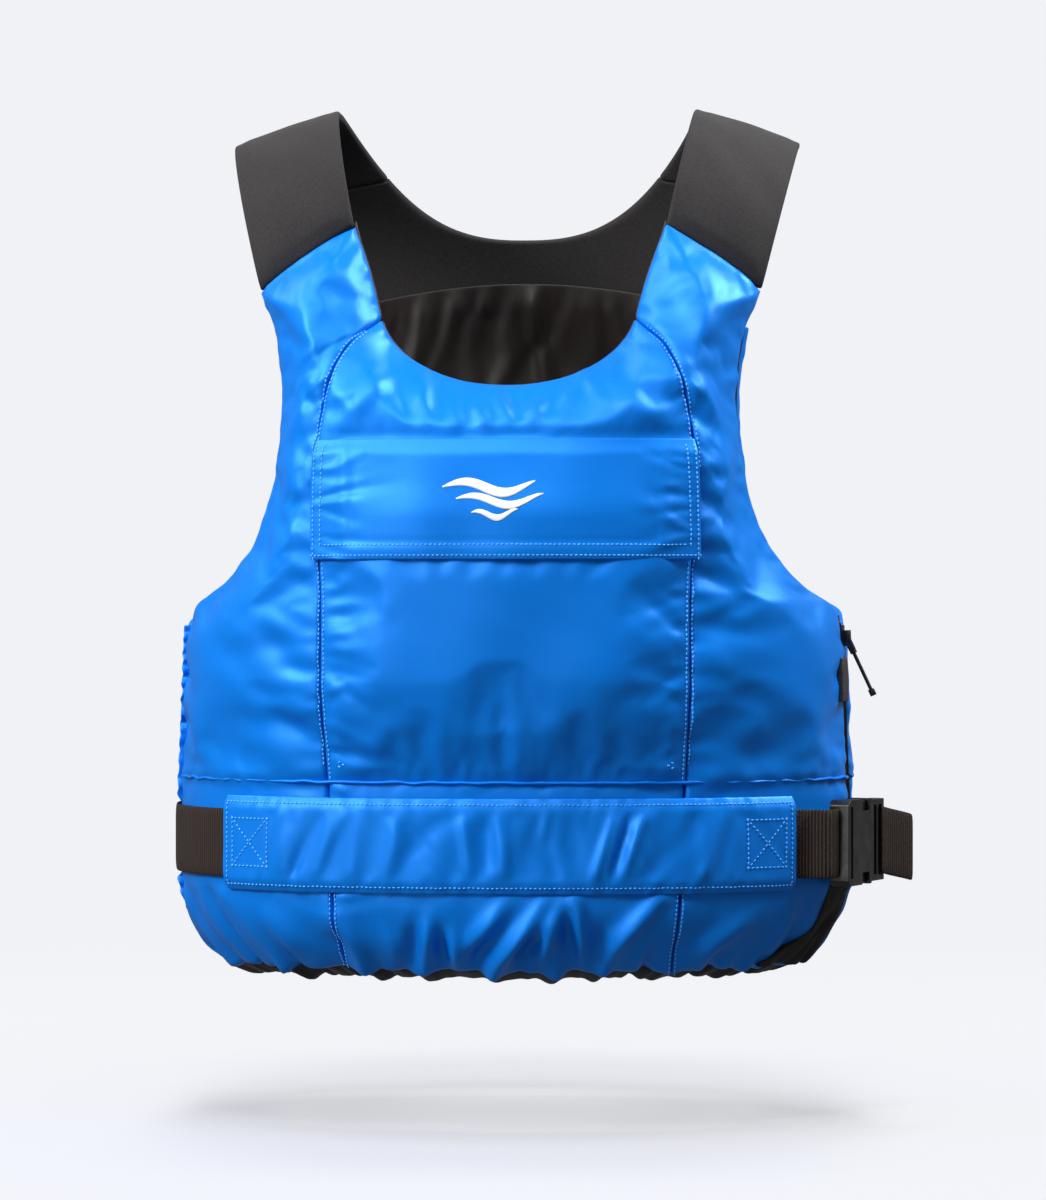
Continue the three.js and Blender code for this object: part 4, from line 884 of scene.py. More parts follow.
# ---------------------------------------------------------------- repeated pieces along seams
def run_tree(kind):
    """Instances of a small thread or tooth along drawn lines, turned to the surface."""
    tree = bpy.data.node_groups.new(kind, "GeometryNodeTree")
    face = tree.interface
    face.new_socket(name="Geometry", in_out="INPUT", socket_type="NodeSocketGeometry")
    for name in ("Spacing", "Length", "Width", "Height"):
        face.new_socket(name=name, in_out="INPUT", socket_type="NodeSocketFloat")
    face.new_socket(name="Material", in_out="INPUT", socket_type="NodeSocketMaterial")
    face.new_socket(name="Geometry", in_out="OUTPUT", socket_type="NodeSocketGeometry")
    start = add_node(tree, "NodeGroupInput", (-900, 0))
    end = add_node(tree, "NodeGroupOutput", (900, 0))
    lines = add_node(tree, "GeometryNodeMeshToCurve", (-700, 100))
    tree.links.new(start.outputs["Geometry"], lines.inputs[0])
    steps = add_node(tree, "GeometryNodeResampleCurve", (-500, 100))
    steps.mode = "LENGTH"
    tree.links.new(lines.outputs[0], steps.inputs["Curve"])
    tree.links.new(start.outputs["Spacing"], steps.inputs["Length"])
    if kind == "Stitch run":
        part = add_node(tree, "GeometryNodeMeshUVSphere", (-500, -200))
        part.inputs["Segments"].default_value = 6
        part.inputs["Rings"].default_value = 4
        part.inputs["Radius"].default_value = 0.5
    else:
        part = add_node(tree, "GeometryNodeMeshCube", (-500, -200))
        part.inputs["Size"].default_value = (1, 1, 1)
    size = add_node(tree, "ShaderNodeCombineXYZ", (-500, -400))
    for k, name in enumerate(("Length", "Width", "Height")):
        tree.links.new(start.outputs[name], size.inputs[k])
    facing = add_node(tree, "GeometryNodeInputNamedAttribute", (-500, 400), data_type="FLOAT_VECTOR")
    facing.inputs["Name"].default_value = "facing"
    tangent = add_node(tree, "GeometryNodeInputTangent", (-500, 300))
    turn_up = add_node(tree, "FunctionNodeAlignRotationToVector", (-250, 400))
    turn_up.axis = "Z"
    tree.links.new(facing.outputs[0], turn_up.inputs["Vector"])
    turn_on = add_node(tree, "FunctionNodeAlignRotationToVector", (-50, 400))
    turn_on.axis = "X"
    turn_on.pivot_axis = "Z"
    tree.links.new(turn_up.outputs[0], turn_on.inputs["Rotation"])
    tree.links.new(tangent.outputs[0], turn_on.inputs["Vector"])
    place = add_node(tree, "GeometryNodeInstanceOnPoints", (200, 100))
    tree.links.new(steps.outputs[0], place.inputs["Points"])
    tree.links.new(part.outputs["Mesh"], place.inputs["Instance"])
    tree.links.new(turn_on.outputs[0], place.inputs["Rotation"])
    tree.links.new(size.outputs[0], place.inputs["Scale"])
    real = add_node(tree, "GeometryNodeRealizeInstances", (400, 100))
    tree.links.new(place.outputs[0], real.inputs[0])
    fine = add_node(tree, "GeometryNodeSetShadeSmooth", (550, 100))
    fine.inputs["Shade Smooth"].default_value = kind == "Stitch run"
    tree.links.new(real.outputs[0], fine.inputs[0])
    paint = add_node(tree, "GeometryNodeSetMaterial", (700, 100))
    tree.links.new(fine.outputs[0], paint.inputs["Geometry"])
    tree.links.new(start.outputs["Material"], paint.inputs["Material"])
    tree.links.new(paint.outputs[0], end.inputs[0])
    return tree


def run_along(name, kind, lines, spacing, length, width, height, material):
    """One plain mesh of repeated pieces; lines are (points, facings) pairs in mm."""
    if kind not in GROUPS:
        GROUPS[kind] = run_tree(kind)
    points, edges, facings = [], [], []
    for line, facing in lines:
        first = len(points)
        points += [tuple(p) for p in np.asarray(line) * MM]
        facings += [tuple(f) for f in np.asarray(facing)]
        edges += [(first + k, first + k + 1) for k in range(len(line) - 1)]
    mesh = bpy.data.meshes.new(name + "_line")
    mesh.from_pydata(points, edges, [])
    attribute = mesh.attributes.new("facing", "FLOAT_VECTOR", "POINT")
    attribute.data.foreach_set("vector", np.asarray(facings, np.float32).ravel())
    holder = link(name + "_line", mesh)
    modifier = holder.modifiers.new("Run", "NODES")
    modifier.node_group = GROUPS[kind]
    values = {
        "Spacing": spacing * MM,
        "Length": length * MM,
        "Width": width * MM,
        "Height": height * MM,
        "Material": material,
    }
    for item in GROUPS[kind].interface.items_tree:
        if item.in_out == "INPUT" and item.name in values:
            modifier[item.identifier] = values[item.name]
    bpy.context.view_layer.update()
    ready = holder.evaluated_get(bpy.context.evaluated_depsgraph_get())
    made = bpy.data.meshes.new_from_object(ready)
    made.name = name
    bpy.data.objects.remove(holder)
    if not made.materials:
        made.materials.append(material)
    return link(name, made)




def sheet_line(points, u, v, lift=0.25):
    """Points and facings of a line on a grid, at grid places u and v from 0 to 1."""
    nu, nv = points.shape[0] - 1, points.shape[1] - 1
    normals = grid_normals(points)
    fu, fv = np.clip(u, 0, 1) * nu, np.clip(v, 0, 1) * nv
    i = np.clip(np.floor(fu).astype(int), 0, nu - 1)
    j = np.clip(np.floor(fv).astype(int), 0, nv - 1)
    a, b = (fu - i)[:, None], (fv - j)[:, None]

    def pick(g):
        return (
            g[i, j] * (1 - a) * (1 - b)
            + g[i + 1, j] * a * (1 - b)
            + g[i, j + 1] * (1 - a) * b
            + g[i + 1, j + 1] * a * b
        )

    facing = pick(normals)
    return pick(points) + facing * lift, facing


def seam_beside(points, border, away, start=0.0, stop=1.0, lift=0.25, count=160):
    """A stitch line at a set distance from one border of a grid."""
    left, right, low, top = border_distances(points)
    t = np.linspace(start, stop, count)
    if border in ("left", "right"):
        d = left if border == "left" else right
        steps = np.linspace(0, 1, points.shape[0])
        rows = np.clip(np.round(t * (points.shape[1] - 1)).astype(int), 0, points.shape[1] - 1)
        where = []
        for r in rows:
            line = d[:, r]
            where.append(np.interp(away, line, steps) if border == "left" else np.interp(-away, -line, steps))
        return sheet_line(points, np.array(where), rows / (points.shape[1] - 1), lift)
    d = low if border == "low" else top
    steps = np.linspace(0, 1, points.shape[1])
    columns = np.clip(np.round(t * (points.shape[0] - 1)).astype(int), 0, points.shape[0] - 1)
    where = []
    for c in columns:
        line = d[c]
        where.append(np.interp(away, line, steps) if border == "low" else np.interp(-away, -line, steps))
    return sheet_line(points, columns / (points.shape[0] - 1), np.array(where), lift)


# ---------------------------------------------------------------- padded panels
PANELS = {}
GRIDS = {
    "front_centre": (lambda: centre_front(56, 110), 11),
    "front_side_right": (lambda: side_front(26, 118, -1), 12),
    "front_side_left": (lambda: side_front(26, 118, 1), 13),
    "back_centre": (lambda: centre_back(52, 104), 14),
    "back_side_right": (lambda: side_back(28, 104, -1), 15),
    "back_side_left": (lambda: side_back(28, 104, 1), 16),
}
# Single folds on each panel: from x, z to x, z, then width and height, all in mm.
FOLDS = {
    "front_centre": [
        (-47, 343, -45, 321, 3.6, 1.7), (-29, 334, -27, 315, 3.4, 1.5), (-17, 332, -10, 314, 3.2, 1.6),
        (-7, 340, 4, 318, 3.4, 1.9), (13, 317, 24, 336, 3.6, 1.8), (30, 321, 41, 342, 3.6, 1.6),
        (44, 348, 57, 330, 3.6, 1.3), (-91, 322, -66, 346, 4.5, 1.6), (-88, 336, -72, 353, 4, 1.2),
        (57, 344, 91, 320, 4.5, 1.6), (60, 333, 86, 317, 3.5, 1.2), (-60, 338, -52, 320, 4, -1.2),
        (0, 338, 10, 324, 3.4, -1.2),
    ],
    "front_side_right": [
        (-96, 330, -128, 300, 7, -2.2), (-98, 286, -132, 262, 8, -2.0), (-97, 236, -150, 214, 9, -2.4),
        (-98, 200, -160, 186, 8, -2.0), (-98, 172, -150, 176, 7, -1.6), (-99, 140, -165, 152, 8, -2.2),
        (-104, 400, -124, 352, 8, 1.6), (-92, 372, -122, 336, 6, -1.6),
    ],
    "front_side_left": [
        (96, 336, 126, 306, 7, -2.0), (98, 292, 134, 258, 8, -2.4), (97, 240, 150, 222, 9, -2.2),
        (98, 196, 158, 202, 8, -2.0), (98, 168, 156, 158, 7, -1.8), (99, 138, 160, 128, 8, -2.0),
        (104, 400, 126, 350, 8, 1.6), (92, 374, 120, 340, 6, -1.4),
    ],
    "back_centre": [
        (-96, 320, -40, 300, 9, -2.2), (96, 286, 44, 262, 9, -2.2), (-96, 210, -30, 190, 10, -2.4),
        (96, 168, 34, 176, 9, -2.0), (-70, 396, -58, 352, 8, -1.8), (60, 398, 66, 350, 8, -1.8),
        (-12, 404, -8, 360, 7, -1.4),
    ],
    "back_side_right": [
        (-98, 300, -130, 276, 7, -2.0),
        (-100, 232, -160, 210, 8, -2.2),
        (-100, 150, -165, 168, 8, -2.2),
    ],
    "back_side_left": [
        (98, 310, 130, 280, 7, -2.0),
        (100, 226, 158, 216, 8, -2.2),
        (100, 146, 160, 160, 8, -2.2),
    ],
}


def panel_relief(name, a, z, points, seed):
    left, right, _, top = border_distances(points)
    x = points[..., 0]
    up = np.interp(z, [0, 30, 60, 118, 150, 500], [0.3, 0.5, 0.35, 0.55, 1, 1])
    relief = swell(x, z, 80, 120, 0.5 if name.endswith("right") else -0.4, seed) * 0.7 * up
    relief += swell(x, z, 30, 90, 0.8, seed + 40) * 0.4 * up
    relief += (2.0 if name == "front_centre" else 1.0) * crease(x, z, FOLDS[name])
    free = 1 - 0.65 * np.clip((z - 200) / 15, 0, 1)
    for d, k in ((left, 1), (right, 2)):
        hold = free if k == 2 and "side" in name else 1.0
        relief += hold * fans(d, z, seed + 50 + k, 11, 24, 1.5, 3.2, 0.4)
        relief += hold * fans(d, z, seed + 52 + k, 5.5, 8, 0.6, 1.7, 0.3)
        relief -= 0.5 * np.exp(-((d / 1.8) ** 2))
    across = x if "centre" in name else a * 150
    relief += (0.35 if name == "front_centre" else 0.6) * fans(top, across, seed + 60, 9, 24, 1.5, 2.8, 0.3)
    relief -= 0.6 * np.exp(-((top / 1.6) ** 2))
    relief *= np.clip((z - 30) / 20, 0, 1)
    skirt = np.clip((54 - z) / 8, 0, 1)
    relief += skirt_folds(a, z, x) * skirt
    above = np.clip(z - 111, 0, None)
    waist = ring_fans(a, above, 21, 54, 22, 1.5, 3.8, 0.7)
    waist += ring_fans(a, above, 22, 190, 6, 0.55, 1.8, 0.3)
    relief += waist * np.clip((z - 108) / 3, 0, 1)
    relief -= 0.8 * np.exp(-(((z - 112.5) / 2.5) ** 2))
    covered = np.clip((z - 51) / 4, 0, 1) * np.clip((104 - z) / 4, 0, 1)
    relief *= 1 - 0.9 * covered
    relief -= 0.5 * covered
    if name == "front_centre":
        hidden = np.clip((z - 112) / 3, 0, 1) * np.clip((303 - z) / 5, 0, 1)
        relief *= 1 - 0.95 * hidden
        relief -= 2.6 * hidden
        seam = np.clip((97 - np.abs(x)) / 4, 0, 1)
        relief *= 1 - 0.85 * seam * np.exp(-(((z - 307) / 5.0) ** 4))
        relief -= 1.6 * seam * np.exp(-(((z - 311.5) / 2.4) ** 2))
    return relief


def overhang(points, a, z):
    """The lower edge of the cloth falls over the elastic in scallops."""
    points = points.copy()
    points[..., 2] -= (3.2 + hem_drop(a)) * np.exp(-np.clip(z - 8.4, 0, None) / 11)
    return points


def build_panel(name):
    make, seed = GRIDS[name]
    a, z = make()
    base = surface(a, z, thickness(a, z))
    left, right, low, top = border_distances(base)
    near = np.minimum(np.minimum(left, right), np.minimum(low, top))
    pinned = np.clip(1 - near / 3, 0, 1)
    pinned = np.maximum(pinned, np.clip((116 - z) / 8, 0, 1))
    if name == "front_centre":
        pinned = np.maximum(pinned, np.clip((316 - z) / 4, 0, 1))
    calm = name == "front_centre"
    grow, push, limit = (0.006, 0.3, 2.0) if calm else (0.013, 0.7, 5.0)
    loose = settle(base, np.where(pinned > 0.5, 1.0, 0.0), grow, push, limit)
    user = bpy.context.scene.vest_sizes
    relief = panel_relief(name, a, z, base, seed) * user.wrinkle
    outer = overhang(loose + grid_normals(base) * relief[..., None], a, z)
    inner = surface(a, z, LINING + 0.3 + 1.2 * np.exp(-np.clip(z - 8.4, 0, None) / 11))
    inner[..., 2] = np.minimum(inner[..., 2], z)
    inner = overhang(inner, a, z)
    PANELS[name] = dict(a=a, z=z, base=base, outer=outer)
    obj = shell(name + "_panel", outer, inner, look("shell"), cut_plan(base))
    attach(obj, "vest")
    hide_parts(name + "_shell", name + "_foam")
    return obj


def flat_area(points):
    du = np.diff(points, axis=0)[:, :-1]
    dv = np.diff(points, axis=1)[:-1]
    return float(np.linalg.norm(np.cross(du, dv), axis=2).sum()) * 1e-6


SHEET_LEAST = 0.01


def declare_cloth(base):
    """Declares a sheet with its flat size measured along base.

    No sheet narrower than SHEET_LEAST can be declared, so a smaller width is given as that
    minimum. The side seam ruffle and the waist seam welt are really about 4 mm wide, and 10 mm is
    not their cut width.
    """
    left, right, low, top = border_distances(base)
    across = float((left + right).max()) * MM
    along = float((low + top).max()) * MM
    flat = (max(SHEET_LEAST, across), max(SHEET_LEAST, along))
    share = flat_area(base)
    share = min(max(share, 0.31 * flat[0] * flat[1]), flat[0] * flat[1])


def build_lining(name):
    a, z = GRIDS[name][0]()
    seed = GRIDS[name][1] + 100
    base = surface(a, z, 0)
    left, right, low, top = border_distances(base)
    near = np.minimum(np.minimum(left, right), np.minimum(low, top))
    x = base[..., 0]
    inward = 1.8 + swell(x, z, 34, 130, 0.12, seed) * 1.3
    inward += fans(top, x, seed + 1, 13, 75, 3.4, 4.2, 0.32)
    inward += fans(top, x, seed + 2, 6, 14, 1.1, 2.0, 0.3)
    inward += 0.8 * fans(low, x, seed + 3, 14, 40, 2.0, 4.0, 0.3)
    inward = np.clip(inward, 0.05, 7) * (1 - np.exp(-((near / 5) ** 2)))
    if name != "front_centre":
        z = z + 4 * np.exp(-top / 5)
    z = z - 4.5 * np.exp(-low / 5)
    outer = surface(a, z, LINING - inward)
    inner = surface(a, z, -inward)
    obj = shell(name + "_inner_cloth", outer, inner, look("lining"), cut_plan(base), 1)
    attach(obj, "vest")
    declare_cloth(base)
    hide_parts(name + "_lining")


# ---------------------------------------------------------------- shoulder straps and yoke
STRAP_LOW = EDGE - STRAP


def over_back(x, z, out):
    lift = out - STRAP_LOW - STRAP / 2
    low = np.minimum(z, ARCH_Z)
    p = surface(angle_at_x(x, low, False), low, out)
    reach = STRAP_IN_Z - (p[..., 0] - STRAP_IN_X) * STRAP_SLOPE + lift - ARCH_Z
    rise = np.clip((z - ARCH_Z) / reach, 0, 1)
    start = STRAP_TOP_Y + STRAP_FLAT / 2
    y = np.where(z <= ARCH_Z, p[..., 1], start + (p[..., 1] - start) * np.sqrt(1 - rise * rise))
    return np.stack([p[..., 0], y, z + 0 * y], -1)


def neck_back_x(z):
    return STRAP_IN_X * np.clip((z - BACK_NECK_Z) / (STRAP_IN_Z - BACK_NECK_Z), 0, 1) ** 0.385


def back_lane(w, degrees):
    s = np.sin(np.radians(degrees))
    z_in = mix(ARCH_Z, STRAP_IN_Z, s)
    z_out = mix(ARCH_Z, STRAP_OUT_Z, s)
    return mix(neck_back_x(z_in), curve(OUTER_BACK, z_out), w), mix(z_in, z_out, w)


def strap_grid(side, out, nu=14):
    """Rows run from the chest seam over the shoulder to the yoke seam."""
    w = np.linspace(0, 1, nu + 1)[:, None]
    lift = out - STRAP_LOW - STRAP / 2
    at_top = np.full_like(w, ARCH_Z)
    top_x = surface(angle_at_x(mix(STRAP_IN_X, STRAP_OUT_X, w), at_top, False), at_top, out)[..., 0]
    top_z = STRAP_IN_Z - (top_x - STRAP_IN_X) * STRAP_SLOPE + lift
    z_base = mix(SHOULDER_IN[1], SHOULDER_OUT[1], w)
    a = mix(
        angle_at_x(princess(SHOULDER_IN[1]) + SEAM_GAP / 2, SHOULDER_IN[1]),
        side_edge(SHOULDER_OUT[1], True, -1),
        w,
    )
    base = surface(a, z_base, out)
    base[..., 2] = z_base + SEAM_GAP
    t = np.radians(np.linspace(0, 90, 31))[None, :]
    c = np.maximum(0, np.cos(t)) ** (2 / 1.7)
    c[0, -1] = 0
    rise = np.sin(t) ** (2 / 1.7)
    to = STRAP_TOP_Y - STRAP_FLAT / 2
    front = np.stack([
        mix(base[..., 0], top_x, rise),
        to - (to - base[..., 1]) * c,
        mix(base[..., 2], top_z, rise),
    ], -1)
    flat_y = np.linspace(to, STRAP_TOP_Y + STRAP_FLAT / 2, 5)[None, 1:]
    flat = np.stack(np.broadcast_arrays(top_x, flat_y, top_z), -1)
    degrees = np.linspace(90, STRAP_SEAM_ANGLE, 17)[None, 1:]
    x, z = back_lane(w, degrees)
    drop = (STRAP_IN_Z + lift - ARCH_Z) / (STRAP_IN_Z - ARCH_Z)
    seat = np.where(np.arange(16) == 15, SEAM_GAP, 0)[None, :]
    back = over_back(x, ARCH_Z + (z - ARCH_Z) * drop + seat, out)
    grid = np.concatenate([front, flat, back], axis=1)
    grid[..., 0] *= side
    return grid


def yoke_grid(out, half=36, nv=16):
    t = np.abs(np.linspace(-1, 1, 2 * half + 1))[:, None]
    sign = np.where(np.linspace(-1, 1, 2 * half + 1) < 0, -1.0, 1.0)[:, None]
    v = np.linspace(0, 1, nv + 1)[None, :]
    seam_in = back_lane(0, STRAP_SEAM_ANGLE)
    seam_out = back_lane(1, STRAP_SEAM_ANGLE)
    nx = float(seam_in[0]) * np.sin(t * np.pi / 2)
    nz = BACK_NECK_Z + (STRAP_IN_Z - BACK_NECK_Z) * (nx / STRAP_IN_X) ** 2.6
    nz = np.where(t >= 1, float(seam_in[1]), nz)
    ox = BACK_ARM_X * t / 0.56
    oz = back_top(ox) + SEAM_GAP
    s = np.clip((t - 0.56) / 0.44, 0, 1)
    up = mix(BACK_ARM_Z + SEAM_GAP, float(seam_out[1]), s)
    oz = np.where(t > 0.56, up, oz)
    ox = np.where(t > 0.56, curve(OUTER_BACK, up), ox)
    lift = out - STRAP_LOW - STRAP / 2
    stretch = (STRAP_IN_Z + lift - ARCH_Z) / (STRAP_IN_Z - ARCH_Z)
    z = mix(oz, nz, v)
    high = np.where(z <= ARCH_Z, z, ARCH_Z + (z - ARCH_Z) * stretch)
    grid = over_back(mix(ox, nx, v), high, out)
    grid[..., 0] *= sign
    return grid


def build_straps():
    for label, side in (("right", -1), ("left", 1)):
        outer, inner = strap_grid(side, EDGE), strap_grid(side, STRAP_LOW)
        left, right, low, top = border_distances(outer)
        near = np.minimum(np.minimum(left, right), np.minimum(low, top))
        soft = 0.7 * puff(near / 12) - 0.8 * np.exp(-(((near - 5) / 1.8) ** 2))
        along = outer[..., 2] + outer[..., 1]
        soft += swell(outer[..., 0], along, 50, 60, 0.4, 31 + side) * 0.5 * puff(near / 15)
        soft -= 1.3 * np.exp(-((low / 3.0) ** 2))
        outer = outer + grid_normals(outer) * soft[..., None]
        obj = shell("shoulder_strap_" + label + "_pad", outer, inner, look("neoprene"), cut_plan(outer), 2)
        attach(obj, "vest")
        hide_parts("shoulder_strap_" + label)
    outer, inner = yoke_grid(EDGE), yoke_grid(STRAP_LOW)
    left, right, low, top = border_distances(outer)
    near = np.minimum(np.minimum(left, right), np.minimum(low, top))
    soft = 0.7 * puff(near / 12) - 0.8 * np.exp(-(((near - 5) / 1.8) ** 2))
    soft += swell(outer[..., 0], outer[..., 2], 60, 60, 0.3, 37) * 0.5 * puff(near / 15)
    outer = outer + grid_normals(outer) * soft[..., None]
    obj = shell("back_yoke_pad", outer, inner, look("neoprene"), cut_plan(outer), 1)
    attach(obj, "vest")
    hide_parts("back_yoke")


# ---------------------------------------------------------------- hem binding
def build_hem():
    start = float(angle_at_y(SIDE_SEAM_Y + ZIP_CHANNEL, 8.0))
    end = float(angle_at_y(SIDE_SEAM_Y - ZIP_CHANNEL, 8.0))
    a = np.linspace(start, 2 * math.pi + end, 421)[:, None]
    a = np.where(a > math.pi, a - 2 * math.pi, a)
    v = np.linspace(0, 1, 9)[None, :]
    z = 8.0 * v
    wave = gathers(a, 8.0)
    bead = 1.5 * np.sin(np.pi * np.clip(v, 0, 1)) ** 0.7
    close = ring_fans(a, 0.0, 77, 150, 5, 0.7, 1.8, 0.2) * np.sin(np.pi * v)
    outer = surface(a, z, EDGE - 2.2 + bead + wave + close)
    inner = surface(a, z, 0.4 + 0.45 * wave)
    drop = hem_drop(a) + 0 * v
    outer[..., 2] -= drop
    inner[..., 2] -= drop
    obj = shell("hem_elastic", outer, inner, look("elastic"), cut_plan(outer), 1)
    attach(obj, "vest")
    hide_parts("hem_binding")


# ---------------------------------------------------------------- pocket, flap and fastening
def pocket_lift(u, z):
    across = np.clip(1 - np.abs(2 * u - 1) ** 3, 0, 1)
    tuck = 1 - 0.5 * smooth((z - 262) / 26)
    return REST + 2.8 * across * smooth((z - POCKET_LOW_Z) / 70) * tuck


def centre_place(u, z, out):
    x = (2 * u - 1) * (princess(z) - SEAM_GAP / 2)
    a = np.where(x < 0, -1.0, 1.0) * angle_at_x(x, z)
    return surface(a, z, thickness(a, z) + out)


POCKET_FOLDS = [
    (-90, 128, -52, 150, 7, 1.6), (-92, 160, -60, 156, 6, -1.8), (-40, 116, -34, 160, 6, 1.5),
    (-18, 116, -14, 142, 5, -1.5), (10, 115, 8, 158, 6, 1.4), (34, 116, 40, 150, 5, -1.6),
    (60, 118, 52, 168, 7, 1.5), (92, 132, 58, 152, 7, 1.6), (92, 170, 62, 160, 6, -1.8),
    (-88, 214, -56, 200, 8, -1.2), (88, 220, 58, 204, 8, -1.2), (-30, 232, 20, 226, 9, 0.9),
]


def build_pocket():
    u, v = grid_axes(64, 60)
    z = POCKET_LOW_Z + v * (POCKET_TOP_Z - POCKET_LOW_Z) + 0 * u
    left, right, low, top = border_distances(centre_place(u, z, 3.0))
    near = np.minimum(left, right)
    sewn = smooth(near / 14) * smooth((low + 1) / 12)
    base = centre_place(u, z, mix(0.0, pocket_lift(u, z) + 1.2, sewn))
    x = base[..., 0]
    relief = swell(x, z, 90, 110, -0.5, 71) * 0.8 + swell(x, z, 34, 80, 0.9, 72) * 0.2
    relief += 0.6 * crease(x, z, POCKET_FOLDS)
    relief += 0.7 * fans(low, x, 73, 9, 20, 1.4, 3.0, 0.5) + fans(low, x, 74, 4, 6, 0.5, 1.6, 0.3)
    for d, k in ((left, 1), (right, 2)):
        relief += fans(d, z, 74 + k, 10, 26, 1.6, 3.0, 0.45) + fans(d, z, 76 + k, 5.5, 8, 0.6, 1.7, 0.3)
    relief *= 1 - np.exp(-((np.minimum(near, low) / 2) ** 2))
    relief *= np.clip((292 - z) / 30, 0.15, 1)
    relief -= 0.5 * np.exp(-((np.minimum(near, low) / 1.8) ** 2))
    pinned = np.where((near < 3) | (low < 3) | (top < 40), 1.0, 0.0)
    loose = settle(base, pinned, 0.014, 0.4, 3.5)
    relief *= bpy.context.scene.vest_sizes.wrinkle
    outer = loose + grid_normals(base) * relief[..., None]
    inner = outer - grid_normals(base) * 1.2
    PANELS["pocket"] = dict(outer=outer, base=base)
    obj = shell("pocket_front", outer, inner, look("shell"), cut_plan(base))
    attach(obj, "vest")
    declare_cloth(base)
    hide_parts("pocket_panel")


def flap_lift(u, z):
    over = pocket_lift(u, z) + 1.2 + 2.9
    return mix(over, REST, smooth((z - 264) / (FLAP_TOP_Z - 264)))


def flap_place(u, z, relief=True):
    u = 0.5 + (u - 0.5) * (1 + 0.04 * (FLAP_TOP_Z - z) / 65)
    inboard = smooth((97 * (1 - np.abs(2 * u - 1)) + 30) / 90)
    lift = mix(2.6, flap_lift(u, z) + 1.6, inboard)
    base = centre_place(u, z, mix(lift, -0.4, smooth((z - 300) / 10)))
    if not relief:
        return base
    x = base[..., 0]
    low = z - FLAP_LOW_Z
    soft = swell(x, z, 70, 60, 0.1, 81) * 0.5 + 0.6 * ripple(x, 52, 82) * np.clip((FLAP_TOP_Z - z) / 60, 0, 1)
    for side in (-1, 1):
        soft += fans(97 + side * x, z, 84 + side, 9, 20, 1.0, 2.6, 0.4)
    edge = np.minimum(low, 97 - np.abs(x))
    soft += 0.7 * np.exp(-(((edge - 5.5) / 3.2) ** 2)) - 0.5 * np.exp(-(((edge - 10) / 1.4) ** 2))
    soft -= 0.5 * np.exp(-(((edge - 2.6) / 1.0) ** 2))
    soft *= np.clip((FLAP_SEAM_Z - z) / 10, 0, 1)
    return base + grid_normals(base) * soft[..., None]


def mark_strokes():
    """A plain three-stroke ripple sign, given as centre points and half widths in flap places."""
    strokes = []
    sizes = [
        (-31, 17, 282, 4.0, 2.9),
        (-24, 21, 274.5, 3.6, 2.4),
        (-16, 8, 266.5, 2.6, 1.9),
    ]
    for k, (x0, x1, z0, bend, fat) in enumerate(sizes):
        t = np.linspace(0, 1, 41)
        x = mix(x0, x1, t)
        z = z0 + bend * np.sin(2 * np.pi * (t * 1.15 + 0.06 * k)) * (0.6 + 0.4 * t)
        strokes.append((x, z, fat * np.sin(np.pi * np.clip(t, 0.015, 0.985)) ** 0.6))
    return strokes


def build_flap():
    u, v = grid_axes(72, 32)
    z = FLAP_LOW_Z + v * (FLAP_SEAM_Z - FLAP_LOW_Z) + 0 * u
    outer = flap_place(u, z)
    inner = outer - grid_normals(outer) * 1.7
    PANELS["flap"] = dict(outer=outer, base=outer)
    obj = shell("pocket_flap_cloth", outer, inner, look("shell"), cut_plan(outer))
    declare_cloth(flap_place(u, z, False))
    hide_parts("pocket_flap")
    obj.data.update()
    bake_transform(obj)
    vertices, faces, uvs = [], [], []
    for x, zc, fat in mark_strokes():
        first = len(vertices)
        for layer in (0.3, 0.08):
            for r in np.linspace(-1, 1, 7):
                zz = zc + r * fat
                uu = x / (2 * (princess(zz) - SEAM_GAP / 2)) + 0.5
                up = (zz - FLAP_LOW_Z) / (FLAP_SEAM_Z - FLAP_LOW_Z)
                line, _ = sheet_line(outer, uu, up, layer * (1 - 0.6 * r**4) + 0.1)
                vertices += list(line)
                uvs += list(np.stack([x, zz], -1) * MM)
        n, rows = len(x), 7
        for k in range(rows - 1):
            for i in range(n - 1):
                p = first + k * n + i
                faces.append((p, p + 1, p + n + 1, p + n))
                q = p + rows * n
                faces.append((q, q + n, q + n + 1, q + 1))
        for i in range(n - 1):
            p, q = first + i, first + rows * n + i
            faces.append((p, q, q + 1, p + 1))
            p, q = first + (rows - 1) * n + i, first + (2 * rows - 1) * n + i
            faces.append((p, p + 1, q + 1, q))
        for k in range(rows - 1):
            p, q = first + k * n, first + (rows + k) * n
            faces.append((p, p + n, q + n, q))
            p, q = p + n - 1, q + n - 1
            faces.append((p, q, q + n, p + n))
    vertices = np.array(vertices)
    if volume_of(vertices, faces) < 0:
        faces = [f[::-1] for f in faces]
    mark = mesh_object("flap_ripple_mark", vertices, faces, np.array(uvs), look("mark"))
    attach(mark, "flap")


def build_fasteners():
    for name, level, body in (("pocket_loop_tape", 0.3, "vest"), ("flap_hook_tape", 1.6, "flap")):
        share = 28 / (2 * float(princess(247)))
        u = np.linspace(0.5 - share, 0.5 + share, 41)[:, None]
        v = np.linspace(0, 1, 13)[None, :]
        z = 247 + 16 * v + 0 * u
        bristle = 0.12 * np.sin(u * 900) * np.sin(z * 3)
        outer = centre_place(u, z, pocket_lift(u, z) + 1.2 + level + 1 + bristle)
        inner = centre_place(u, z, pocket_lift(u, z) + 1.2 + level + 0 * z)
        obj = shell(name + "_strip", outer, inner, look("hook"), cut_plan(outer), 0)
        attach(obj, body)
        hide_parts(name)


